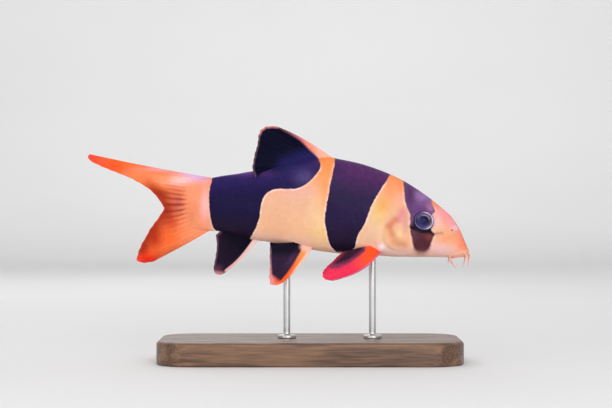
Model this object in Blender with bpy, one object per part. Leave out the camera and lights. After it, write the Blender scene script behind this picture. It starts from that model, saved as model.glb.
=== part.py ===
# Clown loach, life size, as a still model held by two rods on a flat base.
# The fish swims nose down towards +X, and its right side faces -Y. Sizes are in millimetres, measured from
# the middle of the underside of the base, and turn into metres where a mesh is made.
import bmesh
import bpy
import numpy as np

MM = 0.001
GAP = 0.3  # left between pieces that touch
SIDES = {1: "right", -1: "left"}  # the right side is at -Y

# Each rib of the body from the tail fin forwards: its point on the back (x, z), its point on the belly
# (x, z), half the width, the share of the depth below the widest place, and how square it is above and
# below that.
RIBS = (
    ((-40.4, 61.0), (-40.4, 46.2), 0.8, 0.50, 2.0, 2.0),
    ((-36.9, 62.8), (-36.9, 44.9), 2.1, 0.50, 2.0, 2.0),
    ((-33.1, 63.5), (-33.1, 44.9), 3.1, 0.50, 2.0, 2.0),
    ((-26.2, 64.5), (-26.2, 43.7), 4.5, 0.48, 1.95, 2.1),
    ((-18.6, 65.8), (-18.6, 41.9), 5.9, 0.46, 1.9, 2.2),
    ((-10.3, 67.4), (-10.3, 40.4), 7.0, 0.44, 1.9, 2.3),
    ((-1.7, 69.0), (-1.7, 38.8), 7.9, 0.43, 1.9, 2.4),
    ((6.9, 70.0), (6.2, 37.6), 8.4, 0.42, 1.9, 2.5),
    ((14.5, 68.8), (13.8, 36.9), 8.5, 0.42, 1.9, 2.5),
    ((21.4, 66.9), (21.0, 36.5), 8.3, 0.41, 1.9, 2.5),
    ((27.6, 64.4), (27.3, 36.2), 7.9, 0.41, 1.9, 2.5),
    ((32.8, 61.9), (32.1, 36.0), 7.4, 0.40, 1.9, 2.5),
    ((37.3, 59.1), (35.9, 35.9), 6.8, 0.40, 1.9, 2.5),
    ((41.4, 56.1), (39.3, 35.9), 6.1, 0.40, 1.95, 2.5),
    ((45.2, 53.1), (42.6, 35.9), 5.4, 0.40, 2.0, 2.4),
    ((48.3, 50.4), (45.5, 35.9), 4.7, 0.41, 2.0, 2.3),
    ((50.5, 47.4), (48.0, 35.8), 4.1, 0.42, 2.0, 2.2),
    ((52.2, 44.2), (50.2, 35.7), 3.5, 0.44, 2.0, 2.1),
    ((53.6, 40.9), (52.1, 35.7), 2.8, 0.46, 2.0, 2.0),
    ((54.7, 38.4), (53.6, 35.9), 1.8, 0.50, 2.0, 2.0),
)
TAIL_END = (-41.0, 53.6)
SNOUT_END = (54.9, 36.9)
SEGMENTS = 44  # round the body
FINE_RINGS = 90  # along the whole body, where it is a cutter
FAR = 20.0  # past the fish's sides
LOW, HIGH = 0.0, 90.0  # below and above it

# The spine swings towards +Y from here back to the tail fin.
BEND_START = 10.0
TAIL_ROOT = -40.4
SWING = 3.5

VENT_X = -16.6  # the trunk ends and the tail begins
# The rear edge of the gill covers, from the nape down to the throat, where the head ends.
GILL_EDGE = ((33.4, 66.0), (32.4, 58.5), (31.3, 53.4), (29.6, 50.3), (27.1, 47.8), (25.4, 45.2), (25.1, 42.6),
             (26.2, 40.2), (28.2, 37.6), (30.6, 34.0))
COVER_FRONT = ((29.4, 37.6), (32.2, 39.4), (33.6, 43.1), (33.2, 48.0), (31.6, 52.0), (29.8, 54.2))
COVER_LEVELS = (36.4, 54.8)
COVER_BACK = 22.0  # behind the gill edge, which trims the cover
COVER_DEPTH = 1.1

EYE_CENTRE = (38.8, 48.5)
EYE_RADII = (4.4, 4.1, 2.4)  # along the head, up and out
EYE_SINK = 1.5  # from the skin down to the eye's centre
EYE_FACING = (0.16, -0.96, 0.22)  # the right eye, outwards

NOSTRIL = (49.2, 45.4)
NOSTRIL_RADIUS = 0.62
NOSTRIL_RIM = 0.26
NOSTRIL_HOLE_RADII = (0.4, 0.4, 0.7)
NOSTRIL_FACING = (0.62, -0.72, 0.30)
CHEEK_GROOVE = ((34.3, 46.6), (35.8, 45.6), (38.4, 44.9), (41.4, 44.3), (45.2, 44.3))
GROOVE_RADIUS = 0.4

MOUTH_CENTRE = (51.0, 0.0, 36.25)
MOUTH_FACING = (0.12, 0.0, -0.99)
LIP_RADII = (2.6, 1.8)  # fore and aft, and across
LIP_THICKNESS = 0.6
MOUTH_HOLE_RADII = (1.75, 1.0, 1.7)

RAY_THICKNESS = 0.9
MEMBRANE_THICKNESS = 0.5
RIM_THICKNESS = 0.3

# Each fin: its colour, how many rays, how many points along a ray, how far the first and the last ray bulge
# (x, y, z), and the lines of its root and of its rim, both from the first ray to the last.
MIDLINE_FINS = {
    "dorsal_fin": (
        "black", 11, 9, ((0, 0, 0.8), (0, 0, 0.6)),
        ((8.9, 69.3), (2.8, 68.5), (-3.4, 67.3), (-9.0, 66.2), (-14.1, 65.1)),
        ((-11.6, 80.4), (-15.2, 80.2), (-17.0, 79.3), (-17.8, 77.0), (-18.6, 72.8), (-19.4, 68.3),
         (-18.5, 63.6)),
    ),
    "anal_fin": (
        "black", 8, 8, ((0, 0, -0.7), (0, 0, -0.2)),
        ((-17.2, 43.2), (-22.6, 44.4), (-27.4, 45.6)),
        ((-30.2, 30.8), (-31.9, 30.0), (-33.5, 31.0), (-33.7, 34.1), (-33.3, 38.3), (-32.8, 43.1)),
    ),
    "caudal_fin_upper": (
        "orange", 10, 10, ((0, 0, -0.35), (0, 0, -0.4)),
        ((-33.6, 63.2), (-37.6, 61.8), (-39.3, 58.2), (-39.9, 54.0)),
        ((-76.8, 71.2), (-77.5, 70.4), (-76.0, 69.1), (-72.4, 67.4), (-66.2, 64.6), (-59.1, 60.5),
         (-52.8, 55.4), (-50.8, 52.8)),
    ),
    "caudal_fin_lower": (
        "orange", 10, 10, ((0, 0, -0.4), (0, 0, -0.5)),
        ((-39.9, 53.7), (-39.5, 49.2), (-37.6, 46.2), (-33.6, 45.6)),
        ((-50.8, 52.5), (-52.9, 48.3), (-55.9, 43.0), (-59.7, 37.2), (-61.1, 34.8), (-60.2, 33.8),
         (-58.0, 33.7)),
    ),
}
PAIRED_FINS = {
    "pectoral_fin": (
        "red", 12, 8, ((0.9, -1.0, -1.1), (0, -0.6, 0.4)),
        ((24.6, -4.6, 38.2), (23.8, -5.0, 39.2), (22.8, -5.2, 40.1)),
        ((7.4, -14.9, 28.9), (4.6, -14.9, 29.1), (4.0, -14.3, 30.5), (5.0, -13.0, 32.6),
         (6.4, -11.3, 34.6), (8.5, -9.2, 36.8)),
    ),
    "pelvic_fin": (
        "black", 8, 8, ((1.1, -0.4, -0.5), (0, -0.6, -0.3)),
        ((1.2, -3.1, 40.0), (-1.6, -3.3, 40.6), (-4.2, -3.5, 41.2)),
        ((-10.6, -7.0, 26.8), (-13.0, -7.2, 26.1), (-14.5, -7.0, 28.0), (-14.5, -6.2, 32.6),
         (-14.1, -5.2, 37.4), (-13.7, -4.4, 40.9)),
    ),
}
# Each pair of feelers: the line of the right one from its root to its tip, and its radius at the root.
BARBELS = {
    "inner_snout": (((53.7, -0.8, 37.7), (54.8, -1.0, 36.6), (54.7, -1.4, 34.9), (54.6, -1.9, 32.9)), 0.40),
    "outer_snout": (((52.5, -1.9, 37.8), (53.5, -2.9, 36.7), (53.6, -3.5, 34.8), (53.0, -4.1, 32.6)), 0.40),
    "mouth_corner": (
        ((48.9, -1.5, 37.2), (47.9, -2.6, 35.9), (48.6, -3.4, 34.8), (49.4, -4.0, 33.6), (50.6, -4.4, 32.1)),
        0.42,
    ),
    "chin": (((48.3, -0.9, 36.6), (47.9, -1.2, 35.2), (47.6, -1.6, 33.7)), 0.34),
}
BARBEL_POINTS = 11

BASE_LENGTH = 104.0
BASE_WIDTH = 46.0
BASE_HEIGHT = 8.0
BASE_CORNER = 12.0
BASE_BEVEL = 1.2
ROD_RADIUS = 1.2
FOOT_RADIUS = 3.2
ROD_PLACES = {"stand_rod_front": 21.5, "stand_rod_rear": -8.0}

COLOURS = {
    "peach": ((0.90, 0.52, 0.28, 1.0), 0.35, 0.0),
    "black": ((0.02, 0.015, 0.045, 1.0), 0.35, 0.0),
    "orange": ((0.92, 0.25, 0.06, 1.0), 0.4, 0.0),
    "red": ((0.85, 0.06, 0.05, 1.0), 0.4, 0.0),
    "eye": ((0.01, 0.012, 0.04, 1.0), 0.08, 0.0),
    "pink": ((0.85, 0.45, 0.36, 1.0), 0.4, 0.0),
    "walnut": ((0.16, 0.08, 0.04, 1.0), 0.45, 0.0),
    "steel": ((0.60, 0.60, 0.62, 1.0), 0.3, 1.0),
}


def batten(points):
    """A smooth curve through the points, as a function of the share of the way along them, from 0 to 1."""
    points = np.asarray(points, float)
    knots = np.append(0, np.cumsum(np.linalg.norm(np.diff(points, axis=0), axis=1)))
    knots /= knots[-1]
    step = np.diff(knots)[:, None]
    slope = np.diff(points, axis=0) / step
    system = np.eye(len(points))
    right = np.zeros_like(points)
    for i in range(1, len(points) - 1):
        before, after = step[i - 1, 0], step[i, 0]
        system[i, i - 1 : i + 2] = before, 2 * (before + after), after
        right[i] = 6 * (slope[i] - slope[i - 1])
    curve = np.linalg.solve(system, right)

    def at(share):
        share = np.atleast_1d(share)
        i = np.clip(np.searchsorted(knots, share, side="right") - 1, 0, len(points) - 2)
        h = step[i]
        a = (knots[i + 1] - share)[:, None] / h
        b = 1 - a
        bulge = ((a**3 - a) * curve[i] + (b**3 - b) * curve[i + 1]) * h * h / 6
        return a * points[i] + b * points[i + 1] + bulge

    return at


def solid(name, points, faces, colour=None, smooth=True):
    """An object from points in millimetres, with its faces turned outwards."""
    mesh = bpy.data.meshes.new(name)
    mesh.from_pydata([tuple(float(v) * MM for v in point) for point in points], [], faces)
    shape = bmesh.new()
    shape.from_mesh(mesh)
    bmesh.ops.recalc_face_normals(shape, faces=shape.faces)
    shape.to_mesh(mesh)
    shape.free()
    if smooth:
        mesh.shade_smooth()
        mesh.set_sharp_from_angle(angle=0.6)
    made = bpy.data.objects.new(name, mesh)
    bpy.context.scene.collection.objects.link(made)
    if colour:
        paint(made, colour)
    return made


def paint(made, colour):
    """Gives the object one of the materials, which is made when it is first asked for."""
    material = bpy.data.materials.get(colour)
    if material is None:
        material = bpy.data.materials.new(colour)
        material.use_nodes = True
        shader = material.node_tree.nodes["Principled BSDF"]
        base, roughness, metallic = COLOURS[colour]
        shader.inputs["Base Color"].default_value = base
        shader.inputs["Roughness"].default_value = roughness
        shader.inputs["Metallic"].default_value = metallic
        material.diffuse_color = base
    made.data.materials.clear()
    made.data.materials.append(material)


def keep_largest(mesh):
    """Drops every closed surface of the mesh but the one that holds the most."""
    shape = bmesh.new()
    shape.from_mesh(mesh)
    left = set(shape.verts)
    bodies = []
    while left:
        body = set()
        front = [left.pop()]
        while front:
            vertex = front.pop()
            body.add(vertex)
            near = {edge.other_vert(vertex) for edge in vertex.link_edges} & left
            left -= near
            front.extend(near)
        faces = {face for vertex in body for face in vertex.link_faces}
        volume = sum(face.calc_area() * face.normal.dot(face.calc_center_median()) for face in faces)
        bodies.append((abs(volume), len(bodies), body))
    for _, _, body in sorted(bodies, key=lambda found: found[:2])[:-1]:
        bmesh.ops.delete(shape, geom=list(body), context="VERTS")
    shape.to_mesh(mesh)
    shape.free()


def combine(target, operation, *others):
    """Joins these closed shapes to the target, or cuts them from it, and keeps its largest body."""
    group = bpy.data.collections.new(target.name + "_others")
    for other in others:
        group.objects.link(other)
    modifier = target.modifiers.new(operation, "BOOLEAN")
    modifier.operation = operation
    modifier.operand_type = "COLLECTION"
    modifier.collection = group
    graph = bpy.context.evaluated_depsgraph_get()
    mesh = bpy.data.meshes.new_from_object(target.evaluated_get(graph))
    target.modifiers.clear()
    target.data = mesh
    bpy.data.collections.remove(group)
    keep_largest(mesh)
    return target


def remove(*helpers):
    for helper in helpers:
        bpy.data.objects.remove(helper)


def bend(x):
    """How far the spine is swung towards +Y at x."""
    behind = np.maximum(BEND_START - np.asarray(x, float), 0)
    share = behind / (BEND_START - TAIL_ROOT)
    return SWING * np.where(share < 1, share**2, 2 * share - 1)


def body_outline(shares):
    """The ribs at these shares of the body's length from tail to snout: back, belly and the four numbers."""
    rows = [(*back, *belly, *rest) for back, belly, *rest in RIBS]
    ribs = batten(rows)(shares)
    return ribs[:, 0:2], ribs[:, 2:4], ribs[:, 4:]


def body_skin(shares):
    """Rings of points round the body, as an array of ring, segment and x, y, z."""
    back, belly, form = body_outline(shares)
    half_width, level, above, below = (form[:, i, None] for i in range(4))
    angle = np.linspace(0, 2 * np.pi, SEGMENTS, endpoint=False)[None]
    upper = np.cos(angle) >= 0
    power = 2 / np.where(upper, above, below)
    side = half_width * np.sign(np.sin(angle)) * np.abs(np.sin(angle)) ** power
    rise = np.abs(np.cos(angle)) ** power
    height = level + np.where(upper, (1 - level) * rise, -level * rise)
    place = belly[:, None] + (back - belly)[:, None] * height[..., None]
    return np.stack([place[..., 0], side + bend(place[..., 0]), place[..., 1]], axis=-1)


def body(name, start, end, rings, colour=None, grow=0.0):
    """The body from one share of its length to another, closed at both ends, and grown all over if asked."""
    points = body_skin(np.linspace(start, end, rings)).reshape(-1, 3)
    first, last = (ring.mean(axis=0) for ring in (points[:SEGMENTS], points[-SEGMENTS:]))
    if start == 0:
        first = np.array([TAIL_END[0], bend(TAIL_END[0]), TAIL_END[1]])
    if end == 1:
        last = np.array([SNOUT_END[0], 0, SNOUT_END[1]])
    around = [(i, (i + 1) % SEGMENTS) for i in range(SEGMENTS)]
    faces = [
        (ring * SEGMENTS + a, ring * SEGMENTS + b, (ring + 1) * SEGMENTS + b, (ring + 1) * SEGMENTS + a)
        for ring in range(rings - 1)
        for a, b in around
    ]
    tail, snout = rings * SEGMENTS, rings * SEGMENTS + 1
    faces += [(b, a, tail) for a, b in around]
    faces += [((rings - 1) * SEGMENTS + a, (rings - 1) * SEGMENTS + b, snout) for a, b in around]
    made = solid(name, [*points, first, last], faces, colour)
    for vertex in made.data.vertices:
        vertex.co += vertex.normal * grow * MM
    return made


def share_at(x):
    """The share of the body's length at which the middle of its depth is at x."""
    shares = np.linspace(0, 1, 2001)
    back, belly, _ = body_outline(shares)
    return float(np.interp(x, (back[:, 0] + belly[:, 0]) / 2, shares))


def skin_y(x, z):
    """Half the width of the head at a place in the side view."""
    points = body_skin(np.linspace(share_at(x) - 0.08, min(share_at(x) + 0.08, 1), 60)).reshape(-1, 3)
    points = points[points[:, 1] > 0]
    near = np.argsort((points[:, 0] - x) ** 2 + (points[:, 2] - z) ** 2)[:3]
    return float(points[near, 1].mean())


def prism(name, outline, near, far):
    """A cutter with this outline in the side view, from y = near to y = far."""
    count = len(outline)
    points = [(x, y, z) for y in (near, far) for x, z in outline]
    sides = [(i, (i + 1) % count, count + (i + 1) % count, count + i) for i in range(count)]
    ends = [tuple(range(count)), tuple(range(count, 2 * count))]
    return solid(name, points, sides + ends, smooth=False)


def axes_from(facing):
    """Three unit directions: forward and up as far as the facing one allows, and that one."""
    out = np.array(facing) / np.linalg.norm(facing)
    forward = np.array((1.0, 0, 0)) - out[0] * out
    if np.linalg.norm(forward) < 0.3:
        forward = np.array((0, 0, 1.0)) - out[2] * out
    forward /= np.linalg.norm(forward)
    up = np.cross(out, forward)
    return forward, up * (1 if up[2] >= 0 else -1), out


def ball(name, centre, radii, axes, colour=None, segments=20, rings=10):
    """An ellipsoid with its poles on the third axis."""
    unit = [(0, 0, 1), (0, 0, -1)]
    for tilt in np.pi * np.arange(1, rings) / rings:
        for turn in 2 * np.pi * np.arange(segments) / segments:
            unit.append((np.sin(tilt) * np.cos(turn), np.sin(tilt) * np.sin(turn), np.cos(tilt)))
    points = np.array(centre) + (np.array(unit) * radii) @ np.array(axes)
    around = [(2 + i, 2 + (i + 1) % segments) for i in range(segments)]
    faces = [(a, b, 0) for a, b in around]
    faces += [(a + (rings - 2) * segments, b + (rings - 2) * segments, 1) for a, b in around]
    for ring in range(rings - 2):
        low, high = ring * segments, (ring + 1) * segments
        faces += [(a + low, b + low, b + high, a + high) for a, b in around]
    return solid(name, points, faces, colour)


def tube(name, path, radii, colour=None, sides=8, loop=False):
    """A round bar along the path, with its own radius at each point, closed on itself or capped."""
    path = np.asarray(path, float)
    ahead = np.roll(path, -1, axis=0) - np.roll(path, 1, axis=0)
    if not loop:
        ahead[0], ahead[-1] = path[1] - path[0], path[-1] - path[-2]
    ahead /= np.linalg.norm(ahead, axis=1, keepdims=True)
    # The direction square to the plane that the path lies nearest to.
    sideways = np.linalg.svd(path - path.mean(axis=0))[2][2]
    points = []
    for place, forward, radius in zip(path, ahead, radii):
        across = sideways - sideways.dot(forward) * forward
        across /= np.linalg.norm(across)
        over = np.cross(forward, across)
        for turn in 2 * np.pi * np.arange(sides) / sides:
            points.append(place + radius * (np.cos(turn) * across + np.sin(turn) * over))
    count = len(path)
    faces = []
    around = [(a, (a + 1) % sides) for a in range(sides)]
    for i in range(count if loop else count - 1):
        low, high = i * sides, (i + 1) % count * sides
        faces += [(a + low, b + low, b + high, a + high) for a, b in around]
    if not loop:
        faces += [tuple(range(sides)), tuple(range((count - 1) * sides, count * sides))]
    return solid(name, points, faces, colour)


def fin(name, colour, root, rim, rays, rows, bows, sideways=None):
    """A thin plate from its root line to its rim, with a ridge on both faces along each ray.

    root and rim run from the first ray to the last, and bows are how far the first and the last ray bulge.
    """
    columns = np.linspace(0, 1, 2 * rays - 1)
    foot, tip = batten(root)(columns), batten(rim)(columns)
    share = np.linspace(0, 1, rows)[None, :, None]
    bulge = np.array(bows[0]) * (1 - columns[:, None]) + np.array(bows[1]) * columns[:, None]
    middle = foot[:, None] + (tip - foot)[:, None] * share + 4 * share * (1 - share) * bulge[:, None]
    if sideways:
        middle[..., 1] = sideways(middle[..., 0], columns[:, None], share[..., 0])
    normal = np.cross(np.gradient(middle, axis=0), np.gradient(middle, axis=1))
    normal /= np.linalg.norm(normal, axis=-1, keepdims=True)
    on_ray = (np.arange(2 * rays - 1) % 2 == 0)[:, None, None]
    ray = RAY_THICKNESS + (MEMBRANE_THICKNESS - RAY_THICKNESS) * share
    thickness = np.where(on_ray, ray, MEMBRANE_THICKNESS) * np.ones(middle.shape[:2] + (1,))
    thickness[:, -1] = RIM_THICKNESS
    points = np.concatenate([middle + normal * thickness / 2, middle - normal * thickness / 2]).reshape(-1, 3)
    size = (2 * rays - 1) * rows
    faces = []
    for i in range(2 * rays - 2):
        for j in range(rows - 1):
            a, b, c, d = i * rows + j, (i + 1) * rows + j, (i + 1) * rows + j + 1, i * rows + j + 1
            faces += [(a, b, c), (a, c, d), (size + c, size + b, size + a), (size + d, size + c, size + a)]
    corners = [i * rows for i in range(2 * rays - 1)]
    edge = corners + [corners[-1] + j for j in range(1, rows)]
    edge += [i + rows - 1 for i in reversed(corners[:-1])] + list(range(rows - 2, 0, -1))
    faces += [(a, b, size + b, size + a) for a, b in zip(edge, edge[1:] + edge[:1])]
    return solid(name, points, faces, colour)


def both_sides(points, side):
    """Points given for the right side, or mirrored to the left with side = -1."""
    return [(x, y * side, z) for x, y, z in points]


def turned(name, x, y, profile, colour, segments=24):
    """A round piece on an upright axis, from its (radius, z) profile, bottom to top."""
    points = [(x, y, profile[0][1]), (x, y, profile[-1][1])]
    for radius, z in profile:
        for turn in 2 * np.pi * np.arange(segments) / segments:
            points.append((x + radius * np.cos(turn), y + radius * np.sin(turn), z))
    around = [(2 + i, 2 + (i + 1) % segments) for i in range(segments)]
    top = (len(profile) - 1) * segments
    faces = [(a, b, 0) for a, b in around] + [(a + top, b + top, 1) for a, b in around]
    for ring in range(len(profile) - 1):
        low, high = ring * segments, (ring + 1) * segments
        faces += [(a + low, b + low, b + high, a + high) for a, b in around]
    return solid(name, points, faces, colour)


def gill_line(shift=0.0):
    """The rear edge of the gill covers in the side view, moved along x."""
    return [(x + shift, z) for x, z in batten(GILL_EDGE)(np.linspace(0, 1, 19))]


def make_gill_covers():
    """The two gill covers, and the pockets in the head that they lie in."""
    whole = body("whole", 0, 1, FINE_RINGS)
    core = body("core", 0, 1, FINE_RINGS, grow=-COVER_DEPTH)
    deep_core = body("deep_core", 0, 1, FINE_RINGS, grow=-COVER_DEPTH - GAP)
    behind = prism("behind", [*gill_line(), (0, LOW), (0, HIGH)], -FAR, FAR)
    front = batten(COVER_FRONT)(np.linspace(0, 1, 10))
    outwards = front - front.mean(axis=0)
    outwards /= np.linalg.norm(outwards, axis=1, keepdims=True)
    low, high = COVER_LEVELS
    outline = [(COVER_BACK, low), *front, (COVER_BACK, high)]
    wider = [(COVER_BACK, low - GAP), *(front + GAP * outwards), (COVER_BACK, high + GAP)]
    pockets = []
    for side, word in SIDES.items():
        name = "gill_cover_" + word
        cover = prism(name, outline, -2 * side, -FAR * side)
        combine(cover, "INTERSECT", whole)
        combine(cover, "DIFFERENCE", core, behind)
        paint(cover, "peach")
        pocket = prism(name + "_pocket", wider, -1.5 * side, -FAR * side)
        pockets.append(combine(pocket, "DIFFERENCE", deep_core))
    remove(whole, core, deep_core, behind)
    return pockets


def on_skin(place, facing, side):
    """A place of the side view as a point on one side's skin, and the directions forward, up and outwards."""
    axes = axes_from((facing[0], facing[1] * side, facing[2]))
    return np.array((place[0], -skin_y(*place) * side, place[1])), axes


def make_eye(side, cutters):
    """One eye. Its socket is added to the cutters of the head."""
    name = "eye_" + SIDES[side]
    skin, (forward, up, out) = on_skin(EYE_CENTRE, EYE_FACING, side)
    centre = skin - out * EYE_SINK
    ball(name, centre, EYE_RADII, (forward, up, out), "eye")
    socket = ball(name + "_socket", centre, np.array(EYE_RADII) + GAP, (forward, up, out), segments=28)
    cutters.append(socket)


def make_nostril(side, joined, cutters):
    """A low ring round each nostril, and the hole in it."""
    centre, (forward, up, out) = on_skin(NOSTRIL, NOSTRIL_FACING, side)
    turns = 2 * np.pi * np.arange(10) / 10
    ring = [centre + NOSTRIL_RADIUS * (np.cos(t) * forward + np.sin(t) * up) for t in turns]
    joined.append(tube(f"nostril_{side}", ring, [NOSTRIL_RIM] * len(ring), sides=6, loop=True))
    axes = (forward, up, out)
    cutters.append(ball(f"nostril_hole_{side}", centre, NOSTRIL_HOLE_RADII, axes, segments=8, rings=6))


def make_cheek_groove(side):
    """The slit below the eye that holds the folding spine."""
    path = batten(CHEEK_GROOVE)(np.linspace(0, 1, 10))
    path = [(x, -(skin_y(x, z) + 0.1) * side, z) for x, z in path]
    radii = GROOVE_RADIUS * np.sin(np.linspace(0.25, 2.9, len(path))) ** 0.5
    return tube(f"cheek_groove_{side}", path, radii, sides=6)


def make_lips(name, grow=0.0):
    """The ring of the lips round the mouth."""
    fore, _, _ = axes_from(MOUTH_FACING)
    across = np.array((0, 1.0, 0))
    turns = 2 * np.pi * np.arange(20)[:, None] / 20
    ring = MOUTH_CENTRE + LIP_RADII[0] * np.cos(turns) * fore + LIP_RADII[1] * np.sin(turns) * across
    return tube(name, ring, [LIP_THICKNESS + grow] * len(ring), loop=True)


def make_head():
    """The head from the gill covers' rear edge to the lips, with its sockets, nostrils, grooves and mouth."""
    head = body("head", share_at(20), 1, 36, "peach")
    cutters = make_gill_covers()
    cutters.append(prism("behind_gills", [*gill_line(), (0, LOW), (0, HIGH)], -FAR, FAR))
    joined = [make_lips("lips")]
    for side in SIDES:
        make_eye(side, cutters)
        make_nostril(side, joined, cutters)
        cutters.append(make_cheek_groove(side))
    fore, _, out = axes_from(MOUTH_FACING)
    axes = (fore, (0, 1.0, 0), out)
    cutters.append(ball("mouth_hole", MOUTH_CENTRE, MOUTH_HOLE_RADII, axes, segments=14, rings=8))
    combine(head, "UNION", *joined)
    combine(head, "DIFFERENCE", *cutters)
    paint(head, "peach")
    remove(*joined, *cutters)


def make_trunk_and_tail():
    """The body behind the head, parted at the vent by a thin cut."""
    trunk = body("trunk", share_at(VENT_X + GAP / 2), share_at(36), 27)
    ahead = prism("ahead_of_trunk", [*gill_line(-GAP), (70, LOW), (70, HIGH)], -FAR, FAR)
    combine(trunk, "DIFFERENCE", ahead)
    paint(trunk, "black")
    remove(ahead)
    body("tail", 0, share_at(VENT_X - GAP / 2), 14, "black")


def make_midline_fins(clearance):
    """The fins of the back, the belly and the tail, which stand on the bent spine and lean aside a little.

    A lean takes x, the share of the way from the first ray to the last, and the share of a ray's length.
    """
    leans = {
        "dorsal_fin": lambda x, s, v: bend(x) - 0.3 * v - 4.4 * s**3 * v**2,
        "anal_fin": lambda x, s, v: bend(x) + 0.8 * v**2,
        "caudal_fin_upper": lambda x, s, v: bend(x) - 2.0 * (1 - s) * v**2,
        "caudal_fin_lower": lambda x, s, v: bend(x) + 8.0 * s**1.3 * v**2,
    }
    for name, (colour, rays, rows, bulges, *lines) in MIDLINE_FINS.items():
        root, rim = ([(x, 0, z) for x, z in line] for line in lines)
        made = fin(name, colour, root, rim, rays, rows, bulges, leans[name])
        combine(made, "DIFFERENCE", clearance)


def make_paired_fins(clearance):
    """The pectoral and pelvic fins of both sides."""
    for kind, (colour, rays, rows, *lines) in PAIRED_FINS.items():
        for side, word in SIDES.items():
            bulges, root, rim = (both_sides(line, side) for line in lines)
            made = fin(f"{kind}_{word}", colour, root, rim, rays, rows, bulges)
            combine(made, "DIFFERENCE", clearance)


def make_barbels(clearance):
    """Four pairs of feelers: two on the snout, one at the mouth's corners and a short one on the chin."""
    lips = make_lips("lips_clearance", GAP)
    shares = np.linspace(0, 1, BARBEL_POINTS)
    for kind, (line, radius) in BARBELS.items():
        for side, word in SIDES.items():
            path = batten(both_sides(line, side))(shares)
            barbel = tube(f"barbel_{kind}_{word}", path, radius * (1 - 0.6 * shares**1.5), "pink", sides=7)
            combine(barbel, "DIFFERENCE", clearance, lips)
    remove(lips)


def make_stand(clearance):
    """A flat base with round corners and a bevelled top edge, and two rods with a foot up to the belly."""
    half = np.array((BASE_LENGTH, BASE_WIDTH)) / 2 - BASE_CORNER
    outline = []
    for quarter, corner in enumerate(((1, 1), (-1, 1), (-1, -1), (1, -1))):
        for turn in np.pi / 2 * (quarter + np.linspace(0, 1, 7)):
            outline.append(half * corner + BASE_CORNER * np.array((np.cos(turn), np.sin(turn))))
    count = len(outline)
    points = [(x, y, z) for z in (0, BASE_HEIGHT) for x, y in outline]
    faces = [(i, (i + 1) % count, count + (i + 1) % count, count + i) for i in range(count)]
    faces += [tuple(range(count)), tuple(range(count, 2 * count))]
    base = solid("stand_base", points, faces, "walnut", smooth=False)
    bevel = base.modifiers.new("bevel", "BEVEL")
    bevel.width = BASE_BEVEL * MM
    bevel.segments = 2
    bevel.limit_method = "WEIGHT"
    weight = base.data.attributes.new("bevel_weight_edge", "FLOAT", "EDGE")
    for edge in base.data.edges:
        on_top = all(base.data.vertices[v].co.z > BASE_HEIGHT * MM / 2 for v in edge.vertices)
        weight.data[edge.index].value = float(on_top)
    foot = BASE_HEIGHT + GAP
    for name, x in ROD_PLACES.items():
        profile = [(FOOT_RADIUS, foot), (FOOT_RADIUS, foot + 0.7), (FOOT_RADIUS - 0.4, foot + 1.1),
                   (ROD_RADIUS + 0.5, foot + 1.3), (ROD_RADIUS, foot + 1.9), (ROD_RADIUS, 42)]
        rod = turned(name, x, float(bend(x)), profile, "steel", 16)
        combine(rod, "DIFFERENCE", clearance)


def main():
    for existing in list(bpy.data.objects):
        bpy.data.objects.remove(existing)
    make_head()
    make_trunk_and_tail()
    clearance = body("clearance", 0, 1, FINE_RINGS, grow=GAP)
    make_midline_fins(clearance)
    make_paired_fins(clearance)
    make_barbels(clearance)
    make_stand(clearance)
    remove(clearance)


main()
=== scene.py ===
import bpy
import numpy as np
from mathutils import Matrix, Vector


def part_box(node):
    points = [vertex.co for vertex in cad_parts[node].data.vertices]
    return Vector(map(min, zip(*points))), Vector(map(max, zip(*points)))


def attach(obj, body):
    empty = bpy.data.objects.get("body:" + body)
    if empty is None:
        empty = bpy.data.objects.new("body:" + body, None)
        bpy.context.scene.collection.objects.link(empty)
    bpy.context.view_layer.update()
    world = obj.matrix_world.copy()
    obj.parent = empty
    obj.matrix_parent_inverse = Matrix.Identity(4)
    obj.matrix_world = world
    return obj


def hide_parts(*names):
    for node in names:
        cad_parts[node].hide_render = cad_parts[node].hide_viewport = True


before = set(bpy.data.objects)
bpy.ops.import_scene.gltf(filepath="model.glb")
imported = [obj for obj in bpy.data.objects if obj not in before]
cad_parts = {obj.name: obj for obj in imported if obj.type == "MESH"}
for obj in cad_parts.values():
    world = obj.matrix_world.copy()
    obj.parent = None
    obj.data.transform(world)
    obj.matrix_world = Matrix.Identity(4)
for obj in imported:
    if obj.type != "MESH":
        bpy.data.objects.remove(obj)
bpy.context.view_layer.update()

# The skin. One moist, satin cover lies over head, trunk and tail, with no seam where the solids part. It is
# lofted through ribs measured along the fish. Gill covers, eye rims, cheek slits, nostrils and muscle blocks
# are raised from it or pressed into it. Sizes here are millimetres; +X is ahead, and the right side is -Y.
MM = 0.001
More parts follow.
